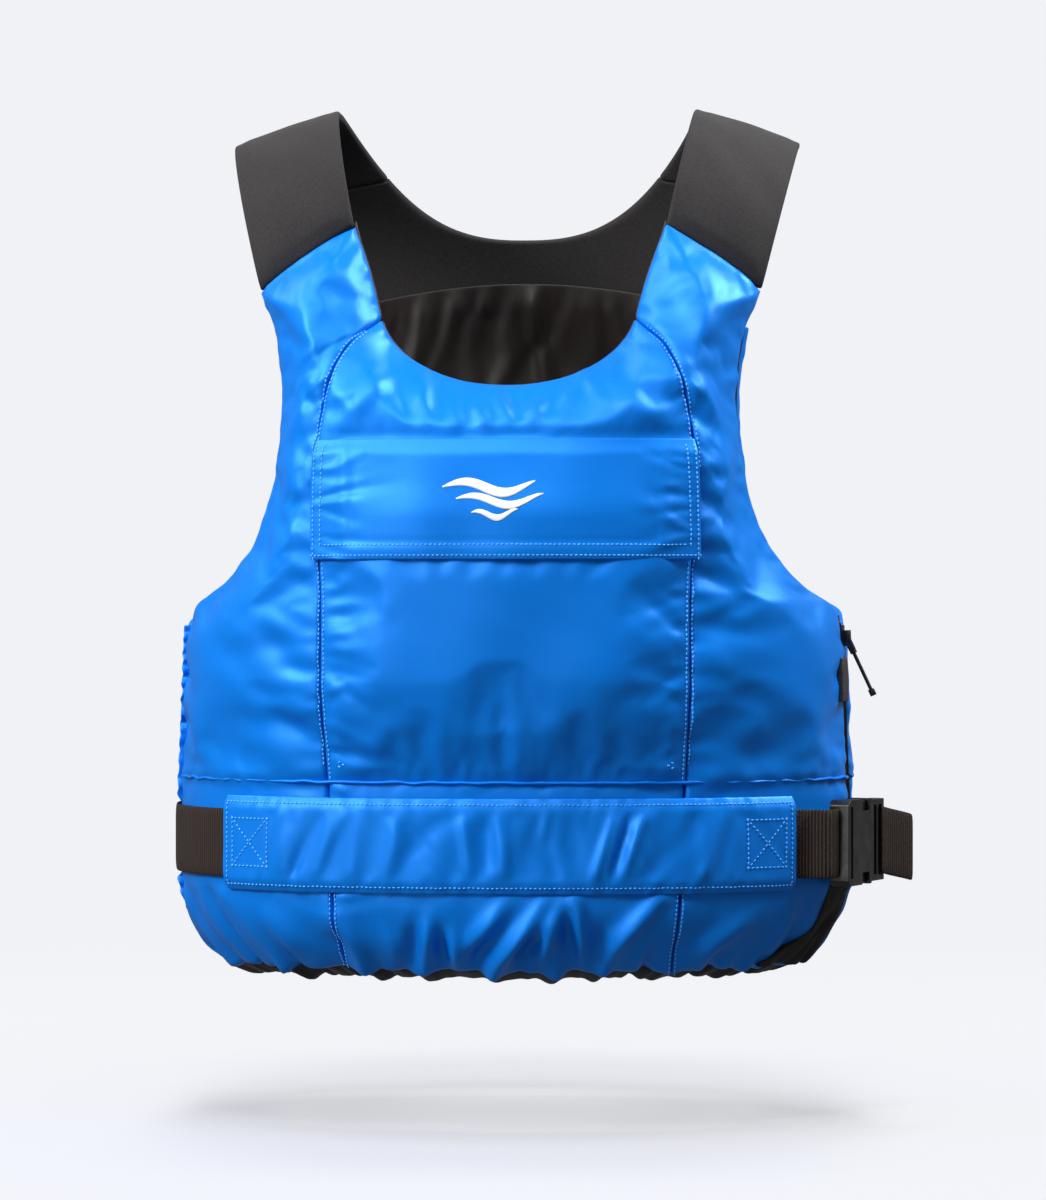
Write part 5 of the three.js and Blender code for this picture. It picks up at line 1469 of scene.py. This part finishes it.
# ---------------------------------------------------------------- belt
def belt_skin(a, z, out):
    at = np.full_like(np.asarray(a, float), BELT_Z)
    p = surface(a, at, thickness(a, at) + out)
    return np.stack([p[..., 0] + 0 * z, p[..., 1] + 0 * z, z + 0 * p[..., 0]], -1)


TUNNEL_END = float(angle_at_x(TUNNEL_HALF_X, BELT_Z))


TUNNEL_FOLDS = [
    (-3, 102, 0, 54, 2.8, 2.2), (-24, 98, -19, 58, 3.2, 1.6), (25, 103, 21, 78, 3.0, 1.8),
    (50, 55, 63, 98, 2.8, 2.6), (57, 56, 68, 101, 2.4, 2.4), (66, 58, 81, 102, 2.8, 2.6),
    (115, 96, 112, 58, 5, 1.4), (-126, 92, -132, 58, 6, 1.4), (-60, 100, -66, 60, 5, 1.0),
    (60, 62, 72, 98, 1.8, -1.6), (-12, 96, -10, 60, 4, -1.4), (36, 96, 40, 62, 6, -1.4),
]


def build_tunnels():
    for front in (True, False):
        t, v = grid_axes(170, 22)
        t = (2 * t - 1) * TUNNEL_END
        a = t if front else np.where(t < 0, -1.0, 1.0) * (math.pi - np.abs(t))
        z = TUNNEL_LOW_Z + v * (TUNNEL_HIGH_Z - TUNNEL_LOW_Z)
        low, high = z - TUNNEL_LOW_Z, TUNNEL_HIGH_Z - z
        edge = np.minimum(low, high)
        level = smooth(edge / 5.5)
        flat = surface(a, z, thickness(a, z + 0 * a) + REST + 1.2)
        proud = belt_skin(a, z, TUNNEL_LEVEL + 1.2)
        base = mix(flat, proud, level[..., None])
        q = a * 150
        mid = smooth((edge - 5) / 8)
        seed = 91 if front else 95
        s = q if front else t * 150
        relief = 1.25 * fans(low, s, seed, 15, 60, 1.7, 3.6, 0.22) * mid
        relief += 1.1 * fans(high, s, seed + 1, 17, 50, 1.5, 3.4, 0.3) * mid
        relief += fans(low, s, seed + 2, 7, 11, 0.8, 2.0, 0.3) + fans(high, s, seed + 3, 7, 11, 0.8, 2.0, 0.3)
        near_end = (TUNNEL_END - np.abs(t)) * 150
        relief *= 0.25 + 0.75 * smooth((near_end - 12) / 40)
        if front:
            relief = 0.75 * relief + 1.4 * crease(base[..., 0], z, TUNNEL_FOLDS) * mid
        relief += 0.5 * np.exp(-(((edge - 1.8) / 1.2) ** 2))
        relief -= 0.7 * np.exp(-(((edge - 4.2) / 1.0) ** 2))
        relief = np.clip(relief, -1.4, 4.0)
        outer = base + grid_normals(base) * relief[..., None]
        inner = base - grid_normals(base) * 1.2
        inner = mix(inner, outer - grid_normals(base) * 1.2, 0.8)
        name = ("front" if front else "back") + "_belt_tunnel"
        PANELS[name] = dict(outer=outer, base=base)
        obj = shell(name + "_cloth", outer, inner, look("shell"), cut_plan(base))
        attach(obj, "vest")
        declare_cloth(base)
        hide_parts(name)


def smooth_path(points, count):
    """A centripetal curve through plan points."""
    p = [np.array(q[:2], float) for q in points]
    p = [2 * p[0] - p[1]] + p + [2 * p[-1] - p[-2]]
    knots = [0.0]
    for a, b in zip(p[:-1], p[1:]):
        knots.append(knots[-1] + max(1e-6, np.linalg.norm(b - a) ** 0.5))
    out = []
    for value in np.linspace(knots[1], knots[-2], count + 1):
        i = min(max(int(np.searchsorted(knots, value, side="right")) - 1, 1), len(p) - 3)
        t0, t1, t2, t3 = knots[i - 1 : i + 3]
        p0, p1, p2, p3 = p[i - 1 : i + 3]
        a1 = (t1 - value) / (t1 - t0) * p0 + (value - t0) / (t1 - t0) * p1
        a2 = (t2 - value) / (t2 - t1) * p1 + (value - t1) / (t2 - t1) * p2
        a3 = (t3 - value) / (t3 - t2) * p2 + (value - t2) / (t3 - t2) * p3
        b1 = (t2 - value) / (t2 - t0) * a1 + (value - t0) / (t2 - t0) * a2
        b2 = (t3 - value) / (t3 - t1) * a2 + (value - t1) / (t3 - t1) * a3
        out.append((t2 - value) / (t2 - t1) * b1 + (value - t1) / (t2 - t1) * b2)
    return np.array(out)


BEARING = math.radians(23)
ALONG = np.array([math.sin(BEARING), math.cos(BEARING)])
OUTWARD = np.array([math.cos(BEARING), -math.sin(BEARING)])


def buckle_at(along, away):
    return OUTWARD * (207.5 + away) + ALONG * along


def web_point(a):
    at, height = np.array([a]), np.array([BELT_Z])
    p = surface(at, height, thickness(at, height) + WEB_LEVEL + WEB_THICK / 2)
    return p[0][:2]


def band(name, path, drop=0.0):
    """Ribbed webbing standing upright along a plan path."""
    step = np.linalg.norm(np.diff(path, axis=0), axis=1)
    length = np.concatenate([[0], np.cumsum(step)])
    count = max(6, int(length[-1] / 3))
    s = np.linspace(0, length[-1], count + 1)
    x, y = np.interp(s, length, path[:, 0]), np.interp(s, length, path[:, 1])
    line = np.stack([x, y], -1)
    tangent = np.gradient(line, axis=0)
    tangent /= np.linalg.norm(tangent, axis=1, keepdims=True)
    normal = np.stack([tangent[:, 1], -tangent[:, 0]], -1)
    w = np.linspace(-1, 1, 11)[None, :]
    fall = drop * s[:, None]
    z = BELT_Z + w * WEB_WIDTH / 2 - fall
    half = WEB_THICK / 2 * np.sqrt(1 - 0.85 * np.abs(w) ** 8)
    outer = np.stack([x[:, None] + normal[:, :1] * half, y[:, None] + normal[:, 1:] * half, z], -1)
    inner = np.stack([x[:, None] - normal[:, :1] * half, y[:, None] - normal[:, 1:] * half, z], -1)
    uv = np.stack(np.broadcast_arrays(s[:, None], z), -1) * MM
    obj = shell(name + "_weave", outer, inner, look("webbing"), uv, 1)
    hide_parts(name)
    return obj


def build_webbing():
    start = float(angle_at_x(WEB_INSIDE_X, BELT_Z))
    right = np.array([web_point(-mix(start, math.pi - start, t)) for t in np.linspace(0, 1, 90)])[::-1]
    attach(band("belt_webbing_right", right), "vest")
    inside = [web_point(mix(start, TUNNEL_END, t)) for t in np.linspace(0, 1, 8)]
    span = smooth_path([
        web_point(TUNNEL_END - 0.05), web_point(TUNNEL_END + 0.03), buckle_at(-9, -2.2), buckle_at(-0.3, 0),
    ], 27)[12:]
    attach(band("belt_webbing_left_front", np.concatenate([inside, span])), "vest")
    back_end = math.pi - TUNNEL_END
    male_end = 60.3
    span = smooth_path([
        buckle_at(male_end + 0.3, 0), buckle_at(male_end + 10, -1), (212.5, 12), (203.5, 38),
        web_point(back_end - 0.1), web_point(back_end + 0.05),
    ], 50)
    inside = [web_point(mix(back_end + 0.12, math.pi - start, t)) for t in np.linspace(0, 1, 8)]
    held, moved = web_point(back_end), buckle_at(male_end + 2, 0)
    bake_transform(band("belt_webbing_left_back", np.concatenate([span, inside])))
    tail = smooth_path([
        buckle_at(male_end - 7, 5.7), buckle_at(male_end + 2, 6.2), buckle_at(male_end + 15.6, 10.5),
        buckle_at(male_end + 26, 12.5),
    ], 24)
    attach(band("belt_tail", tail, 0.9 * 7 / 34), "buckle_male_body")


# ---------------------------------------------------------------- buckle
def build_buckle():
    for node, body, width in (
        ("buckle_female", "vest", 0.9),
        ("buckle_male", "buckle_male_body", 0.6),
        ("buckle_arm_upper", "buckle_arm_upper_body", 0.5),
        ("buckle_arm_lower", "buckle_arm_lower_body", 0.5),
    ):
        obj = rounded_copy(node + "_moulding", node, width, look("plastic"))
        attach(obj, body)
        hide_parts(node)


# ---------------------------------------------------------------- side zip
def zip_place(y, z, out):
    scale = mix(EDGE, SIDE, puff(z / 45)) / SIDE
    y, z = np.broadcast_arrays(y, z)
    a = np.vectorize(lambda p, q: float(angle_at_y(SIDE_SEAM_Y + p, q)))(y, z)
    return surface(a, z, out * scale)


def build_zip():
    for label, side in (("front", -1), ("back", 1)):
        z = np.linspace(ZIP_LOW_Z if side > 0 else 9.5, ZIP_HIGH_Z, 91)[None, :]
        flare = 24 * smooth((66 - z) / 16) + 13 * smooth((30 - z) / 22) if side < 0 else 0 * z
        t = np.linspace(0, 1, 20)[:, None]
        y = side * (2.7 + (2.9 + flare) * t)
        rib = 0.12 * np.cos((np.minimum(np.abs(y), 8) - 2.7) * 4.3)
        low_out = zip_place(y, z, TAPE_LEVEL)
        a = np.vectorize(lambda p, q: float(angle_at_y(SIDE_SEAM_Y + p, q)))(*np.broadcast_arrays(y, z))
        body = surface(a, z, thickness(a, z + 0 * a))
        folds = skirt_folds(a, z + 0 * a, body[..., 0]) * np.clip((54 - z) / 8, 0, 1)
        folds *= np.clip((np.abs(y) - 5) / 8, 0, 1)
        level = thickness(a, z + 0 * a) + folds + 1.5 + 1.3 * smooth((26 - z) / 12)
        over = overhang(surface(a, z, level), a, z + 0 * a)
        rise = smooth((np.abs(y) - 4.6) / 2.0)[..., None]
        over[..., 2] -= 2.4 * np.exp(-(z - 8.4) / 8) + 0 * a
        outer = mix(zip_place(y, z, TAPE_LEVEL + 1 + rib), over, rise)
        inner = mix(low_out, over - (over - low_out) * 0.5, rise)
        obj = shell("zip_tape_" + label + "_cloth", outer, inner, look("tape"), cut_plan(outer), 1)
        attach(obj, "vest")
        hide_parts("zip_tape_" + label)
        zt = np.linspace(ZIP_LOW_Z + (1.25 if side > 0 else 0), ZIP_HIGH_Z, 60)
        line = zip_place(np.array(side * 0.95), zt, TAPE_LEVEL + 0.6)
        ahead = zip_place(np.array(side * 0.95), zt, TAPE_LEVEL + 1.6) - line
        ahead /= np.linalg.norm(ahead, axis=1, keepdims=True)
        row = "zip_teeth_" + label + "_row"
        teeth = run_along(row, "Tooth run", [(line, ahead)], 2.5, 1.25, 2.9, 2.0, look("teeth"))
        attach(teeth, "vest")
        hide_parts("zip_teeth_" + label)
    for node, body, width in (
        ("zip_bottom_box", "vest", 0.35),
        ("zip_top_stop", "vest", 0.35),
        ("zip_slider", "zip_slider_body", 0.35),
        ("zip_puller", "zip_puller_body", 0.3),
    ):
        obj = rounded_copy(node + "_moulding", node, width, look("plastic"), 2)
        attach(obj, body)
        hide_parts(node)
    u, v = grid_axes(12, 20)
    z = 158 + 26 * v + 0 * u
    y = mix(-ZIP_CHANNEL - 13, -ZIP_CHANNEL - 1, u) + 0 * v
    a = np.vectorize(lambda p, q: float(angle_at_y(SIDE_SEAM_Y + p, q)))(y, z)
    plump = 0.5 * np.sin(np.pi * np.clip(v, 0, 1)) ** 0.4
    outer = surface(a, z, thickness(a, z) + SEAM_GAP + 1.6 + plump)
    inner = surface(a, z, thickness(a, z) - 1.5)
    obj = shell("zip_side_tab_loop", outer, inner, look("tab"), cut_plan(outer), 1)
    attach(obj, "vest")
    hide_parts("zip_side_tab")


def build_side_seam():
    """The overlocked seam allowance that stands up where the plain side is closed."""
    z = np.linspace(10, 203, 150)[None, :]
    w = np.linspace(0, 1, 5)[:, None]
    wave = ripple(z, 10, 55) * 1.7 * w
    a = np.vectorize(lambda p, q: float(angle_at_y(SIDE_SEAM_Y + p, q)))(wave, z + 0 * wave)
    edge = mix(EDGE, SIDE, puff(z / 45))
    belt = np.clip((z - 96) / 6, 0, 1) + np.clip((58 - z) / 6, 0, 1)
    out = edge - 2.5 + w * (1.5 + (4.2 + 0.5 * ripple(z, 7, 56)) * np.clip(belt, 0, 1))
    mid = surface(-a, z, out)
    side = np.gradient(mid, axis=1)
    across = np.cross(np.gradient(mid, axis=0), side)
    across /= np.maximum(1e-9, np.linalg.norm(across, axis=2, keepdims=True))
    obj = shell("side_seam_ruffle", mid + across * 0.5, mid - across * 0.5, look("shell"), cut_plan(mid), 1)
    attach(obj, "vest")
    declare_cloth(mid)


def build_waist_seam():
    """The thin raised seam that runs round the body just above the belt tunnels."""
    start = float(angle_at_y(SIDE_SEAM_Y + ZIP_CHANNEL + 1, 113.0))
    end = float(angle_at_y(SIDE_SEAM_Y - ZIP_CHANNEL - 1, 113.0))
    a = np.linspace(start, 2 * math.pi + end, 521)[:, None]
    a = np.where(a > math.pi, a - 2 * math.pi, a)
    t = np.linspace(0, 1, 7)[None, :]
    z = 113.6 + 2.4 * (t - 0.5) + 0.35 * ripple(a * 150, 14, 57) + 0 * a
    round_top = np.sin(np.pi * t) ** 0.6
    level = thickness(a, z) - 0.5 + 0.25 * ripple(a * 150, 9, 58)
    outer = surface(a, z, level + 1.7 * round_top)
    inner = surface(a, z, level - 1.2 + 0 * z)
    obj = shell("waist_seam_welt", outer, inner, look("shell"), cut_plan(outer), 0)
    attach(obj, "vest")
    declare_cloth(outer)


# ---------------------------------------------------------------- stitching
def build_stitches():
    blue, flap = [], []
    for name in ("front_centre", "back_centre"):
        g = PANELS[name]["outer"]
        pocket = name == "front_centre"
        for border in ("left", "right"):
            for start, stop in (((0.0, 0.105), (0.8, 0.985)) if pocket else ((0.0, 0.105), (0.27, 0.985))):
                blue.append(seam_beside(g, border, 2.0, start, stop))
    for name in ("front_side_right", "front_side_left", "back_side_right", "back_side_left"):
        g = PANELS[name]["outer"]
        blue.append(seam_beside(g, "left", 1.5, 0.0, 0.105))
        blue.append(seam_beside(g, "left", 1.5, 0.27, 0.985 if "back" in name else 0.86))
    g = PANELS["pocket"]["outer"]
    for border in ("left", "right"):
        blue.append(seam_beside(g, border, 2.0, 0.0, 0.72))
    turn = np.linspace(0, 2 * np.pi, 13)
    for side in (-1, 1):
        u = 0.5 + side * (0.5 - (8.5 + 1.5 * np.cos(turn)) / 193)
        v = (10.5 + 1.5 * np.sin(turn)) / (POCKET_TOP_Z - POCKET_LOW_Z)
        blue.append(sheet_line(g, u, v))
    for name in ("front_belt_tunnel", "back_belt_tunnel"):
        g = PANELS[name]["outer"]
        blue.append(seam_beside(g, "low", 4.2, 0.012, 0.988, count=220))
        blue.append(seam_beside(g, "top", 4.2, 0.012, 0.988, count=220))
        for side in (0, 1):
            blue.append(seam_beside(g, "left" if side else "right", 3.5, 0.09, 0.91))
            u0, u1 = (0.028, 0.115) if side == 0 else (0.885, 0.972)
            v0, v1 = 0.26, 0.76
            for line in (
                ((u0, v0), (u0, v1)), ((u1, v0), (u1, v1)), ((u0, v0), (u1, v1)), ((u0, v1), (u1, v0)),
                ((u0, v0), (u1, v0)), ((u0, v1), (u1, v1)),
            ):
                t = np.linspace(0, 1, 24)
                blue.append(sheet_line(g, mix(line[0][0], line[1][0], t), mix(line[0][1], line[1][1], t)))
    g = PANELS["flap"]["outer"]
    for away in (2.4, 8.5):
        flap.append(seam_beside(g, "low", away, away / 200, 1 - away / 200))
        for border in ("left", "right"):
            flap.append(seam_beside(g, border, away * 0.8, away / 66, 0.93))
    for name, lines, body in (("seam_stitches", blue, "vest"), ("flap_stitches", flap, "flap")):
        pitch = bpy.context.scene.vest_sizes.stitch / MM
        obj = run_along(name, "Stitch run", lines, pitch, 0.72 * pitch, 0.9, 0.7, look("thread"))
        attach(obj, body)


# ---------------------------------------------------------------- stage
def soft_box(name, place, target, size, watts, tint=(1, 1, 1)):
    lamp = bpy.data.lights.new(name, "AREA")
    lamp.shape = "RECTANGLE"
    lamp.size, lamp.size_y = size
    lamp.energy = watts
    lamp.color = tint
    obj = bpy.data.objects.new(name, lamp)
    bpy.context.scene.collection.objects.link(obj)
    obj.location = place
    obj.rotation_euler = (Vector(target) - Vector(place)).to_track_quat("-Z", "Y").to_euler()
    return obj


def build_stage():
    scene = bpy.context.scene
    scene.view_settings.view_transform = "Standard"
    floor_z, bend = -0.087, 2.0
    turns = [(-9.0, floor_z), (7.0, floor_z)]
    turns += [
        (7.0 + bend * math.sin(t), floor_z + bend - bend * math.cos(t))
        for t in np.linspace(0.1, math.pi / 2, 16)
    ]
    turns += [(9.0, 9.0)]
    vertices = [(x * 1000, y * 1000, z * 1000) for x in (-9, 9) for y, z in turns]
    n = len(turns)
    faces = [(k, k + n, k + n + 1, k + 1) for k in range(n - 1)]
    material, tree, body = start_material("Pale studio paper")
    glow = add_node(tree, "ShaderNodeEmission", (-200, 300), in_0=(0.88, 0.888, 0.922, 1), in_1=1.0)
    part = add_node(tree, "ShaderNodeEmission", (-200, 100), in_0=(0.507, 0.508, 0.529, 1), in_1=1.0)
    noise = add_node(tree, "ShaderNodeTexNoise", (-700, -100))
    noise.inputs["Scale"].default_value = 2
    low, high = (0.79, 0.79, 0.79, 1), (0.81, 0.81, 0.81, 1)
    grain = add_node(tree, "ShaderNodeMix", (-450, -100), data_type="RGBA", in_6=low, in_7=high)
    tree.links.new(noise.outputs[0], grain.inputs[0])
    matt = add_node(tree, "ShaderNodeBsdfDiffuse", (-200, -100))
    tree.links.new(grain.outputs[2], matt.inputs["Color"])
    both = add_node(tree, "ShaderNodeAddShader", (0, 0))
    tree.links.new(part.outputs[0], both.inputs[0])
    tree.links.new(matt.outputs[0], both.inputs[1])
    place = add_node(tree, "ShaderNodeTexCoord", (-900, 400))
    split = add_node(tree, "ShaderNodeSeparateXYZ", (-700, 400))
    tree.links.new(place.outputs["Object"], split.inputs[0])
    far = add_node(tree, "ShaderNodeMapRange", (-450, 400), interpolation_type="SMOOTHSTEP")
    far.inputs["From Min"].default_value = 0.45
    far.inputs["From Max"].default_value = 1.4
    tree.links.new(split.outputs[1], far.inputs["Value"])
    join = add_node(tree, "ShaderNodeMixShader", (200, 100))
    tree.links.new(far.outputs[0], join.inputs[0])
    tree.links.new(both.outputs[0], join.inputs[1])
    tree.links.new(glow.outputs[0], join.inputs[2])
    tree.nodes.remove(body)
    tree.links.new(join.outputs[0], tree.nodes["Material Output"].inputs[0])
    floor = mesh_object("studio_floor", np.array(vertices), faces, None, material)
    floor.visible_diffuse = floor.visible_glossy = False
    world = scene.world or bpy.data.worlds.new("Studio")
    scene.world = world
    world.use_nodes = True
    back = world.node_tree.nodes["Background"]
    back.inputs[0].default_value = (0.93, 0.95, 1.0, 1)
    back.inputs[1].default_value = 0.2
    sky = world.node_tree
    seen = add_node(sky, "ShaderNodeBackground", (0, -200), in_0=(0.88, 0.888, 0.922, 1), in_1=1.0)
    ray = add_node(sky, "ShaderNodeLightPath", (0, 300))
    either = add_node(sky, "ShaderNodeMixShader", (300, 0))
    sky.links.new(ray.outputs["Is Camera Ray"], either.inputs[0])
    sky.links.new(back.outputs[0], either.inputs[1])
    sky.links.new(seen.outputs[0], either.inputs[2])
    sky.links.new(either.outputs[0], sky.nodes["World Output"].inputs[0])
    vest_lights = [
        soft_box("key_light", (-2.0, -1.7, 1.6), (0, 0, 0.3), (0.9, 0.9), 70),
        soft_box("fill_light", (-1.4, -2.3, 0.1), (0, 0, 0.2), (1.2, 1.0), 7),
        soft_box("top_light", (-0.3, -0.85, 1.3), (0, 0, 0.33), (1.1, 0.5), 10),
        soft_box("right_light", (1.3, 0.1, 1.6), (0.1, 0, 0.35), (0.7, 0.7), 46),
        soft_box("left_light", (-1.3, 0.1, 1.6), (-0.1, 0, 0.35), (0.7, 0.7), 14),
    ]
    suns = []
    for lean in (-20, 0, 20):
        sun = bpy.data.lights.new("floor_light", "SUN")
        sun.energy = 0.33 / math.cos(math.radians(lean))
        sun.angle = math.radians(14)
        suns.append(bpy.data.objects.new("floor_light", sun))
        suns[-1].rotation_euler = (math.radians(lean), 0, 0)
        scene.collection.objects.link(suns[-1])
    for lamp, state in [(k, "INCLUDE") for k in suns] + [(k, "EXCLUDE") for k in vest_lights]:
        reach = bpy.data.collections.new(lamp.name + "_reach")
        lamp.light_linking.receiver_collection = reach
        reach.objects.link(floor)
        reach.collection_objects[0].light_linking.link_state = state
    lens = bpy.data.cameras.new("View")
    lens.lens = 149.13
    lens.sensor_width = 36
    lens.sensor_fit = "HORIZONTAL"
    lens.shift_x = 6 / 1046
    lens.clip_end = 20
    camera = bpy.data.objects.new("View", lens)
    scene.collection.objects.link(camera)
    turn = math.radians(3)
    camera.location = (2.6 * math.sin(turn), -2.6 * math.cos(turn), 0.218)
    camera.rotation_euler = (math.radians(90), 0, turn)
    scene.camera = camera


# ---------------------------------------------------------------- add-on
class VestSizes(bpy.types.PropertyGroup):
    stitch: FloatProperty(
        name="Stitch spacing", description="Distance from one stitch to the next", default=0.0027,
        min=0.002, max=0.01, unit="LENGTH",
    )
    wrinkle: FloatProperty(
        name="Wrinkle height", description="Share of the full height of the folds and puckers",
        default=1.0, min=0.0, max=1.5, subtype="FACTOR",
    )


class VestColours(bpy.types.PropertyGroup):
    shell: FloatVectorProperty(
        name="Shell cloth", description="Colour of the outer cloth", subtype="COLOR", size=3,
        default=(0.0, 0.215, 0.84), min=0.0, max=1.0,
    )


def operator(name, label, doc, steps):
    def execute(self, context):
        for step in steps:
            step()
        return {"FINISHED"}

    return type(
        "VEST_OT_" + name,
        (bpy.types.Operator,),
        {"bl_idname": "vest." + name, "bl_label": label, "__doc__": doc, "execute": execute},
    )


def all_panels():
    for name in GRIDS:
        build_panel(name)


def all_linings():
    for name in GRIDS:
        build_lining(name)


OPERATORS = [
    operator(
        "panels",
        "Padded panels",
        "Build the six padded body panels",
        [all_panels, build_side_seam, build_waist_seam],
    ),
    operator("linings", "Linings", "Build the inner cloth of every panel", [all_linings]),
    operator("straps", "Straps and yoke", "Build the shoulder straps and the back yoke", [build_straps]),
    operator("hem", "Hem", "Build the elastic hem binding", [build_hem]),
    operator(
        "pocket",
        "Pocket",
        "Build the pocket, its flap and fastening tapes",
        [build_pocket, build_flap, build_fasteners],
    ),
    operator("belt", "Belt", "Build the belt tunnels and the webbing", [build_tunnels, build_webbing]),
    operator("buckle", "Buckle", "Build the side-release buckle", [build_buckle]),
    operator("zip", "Side zip", "Build the zip tapes, teeth, slider and tab", [build_zip]),
    operator("stitches", "Stitching", "Sew the stitch rows along the seams", [build_stitches]),
    operator("stage", "Stage", "Set the floor, lights and camera", [build_stage]),
]


class VEST_PT_panel(bpy.types.Panel):
    bl_idname = "VEST_PT_panel"
    bl_label = "Vest"
    bl_space_type = "VIEW_3D"
    bl_region_type = "UI"
    bl_category = "Vest"

    def draw(self, context):
        for group in (context.scene.vest_sizes, context.scene.vest_colours):
            for key in group.__annotations__:
                self.layout.prop(group, key)
        for op in OPERATORS:
            self.layout.operator(op.bl_idname)


CLASSES = [VestSizes, VestColours, *OPERATORS, VEST_PT_panel]


def register():
    for cls in CLASSES:
        bpy.utils.register_class(cls)
    bpy.types.Scene.vest_sizes = PointerProperty(type=VestSizes)
    bpy.types.Scene.vest_colours = PointerProperty(type=VestColours)


def unregister():
    del bpy.types.Scene.vest_colours
    del bpy.types.Scene.vest_sizes
    for cls in reversed(CLASSES):
        bpy.utils.unregister_class(cls)


def main():
    register()
    for op in OPERATORS:
        getattr(bpy.ops.vest, op.bl_idname.split(".")[1])()


if __name__ == "__main__":
    main()
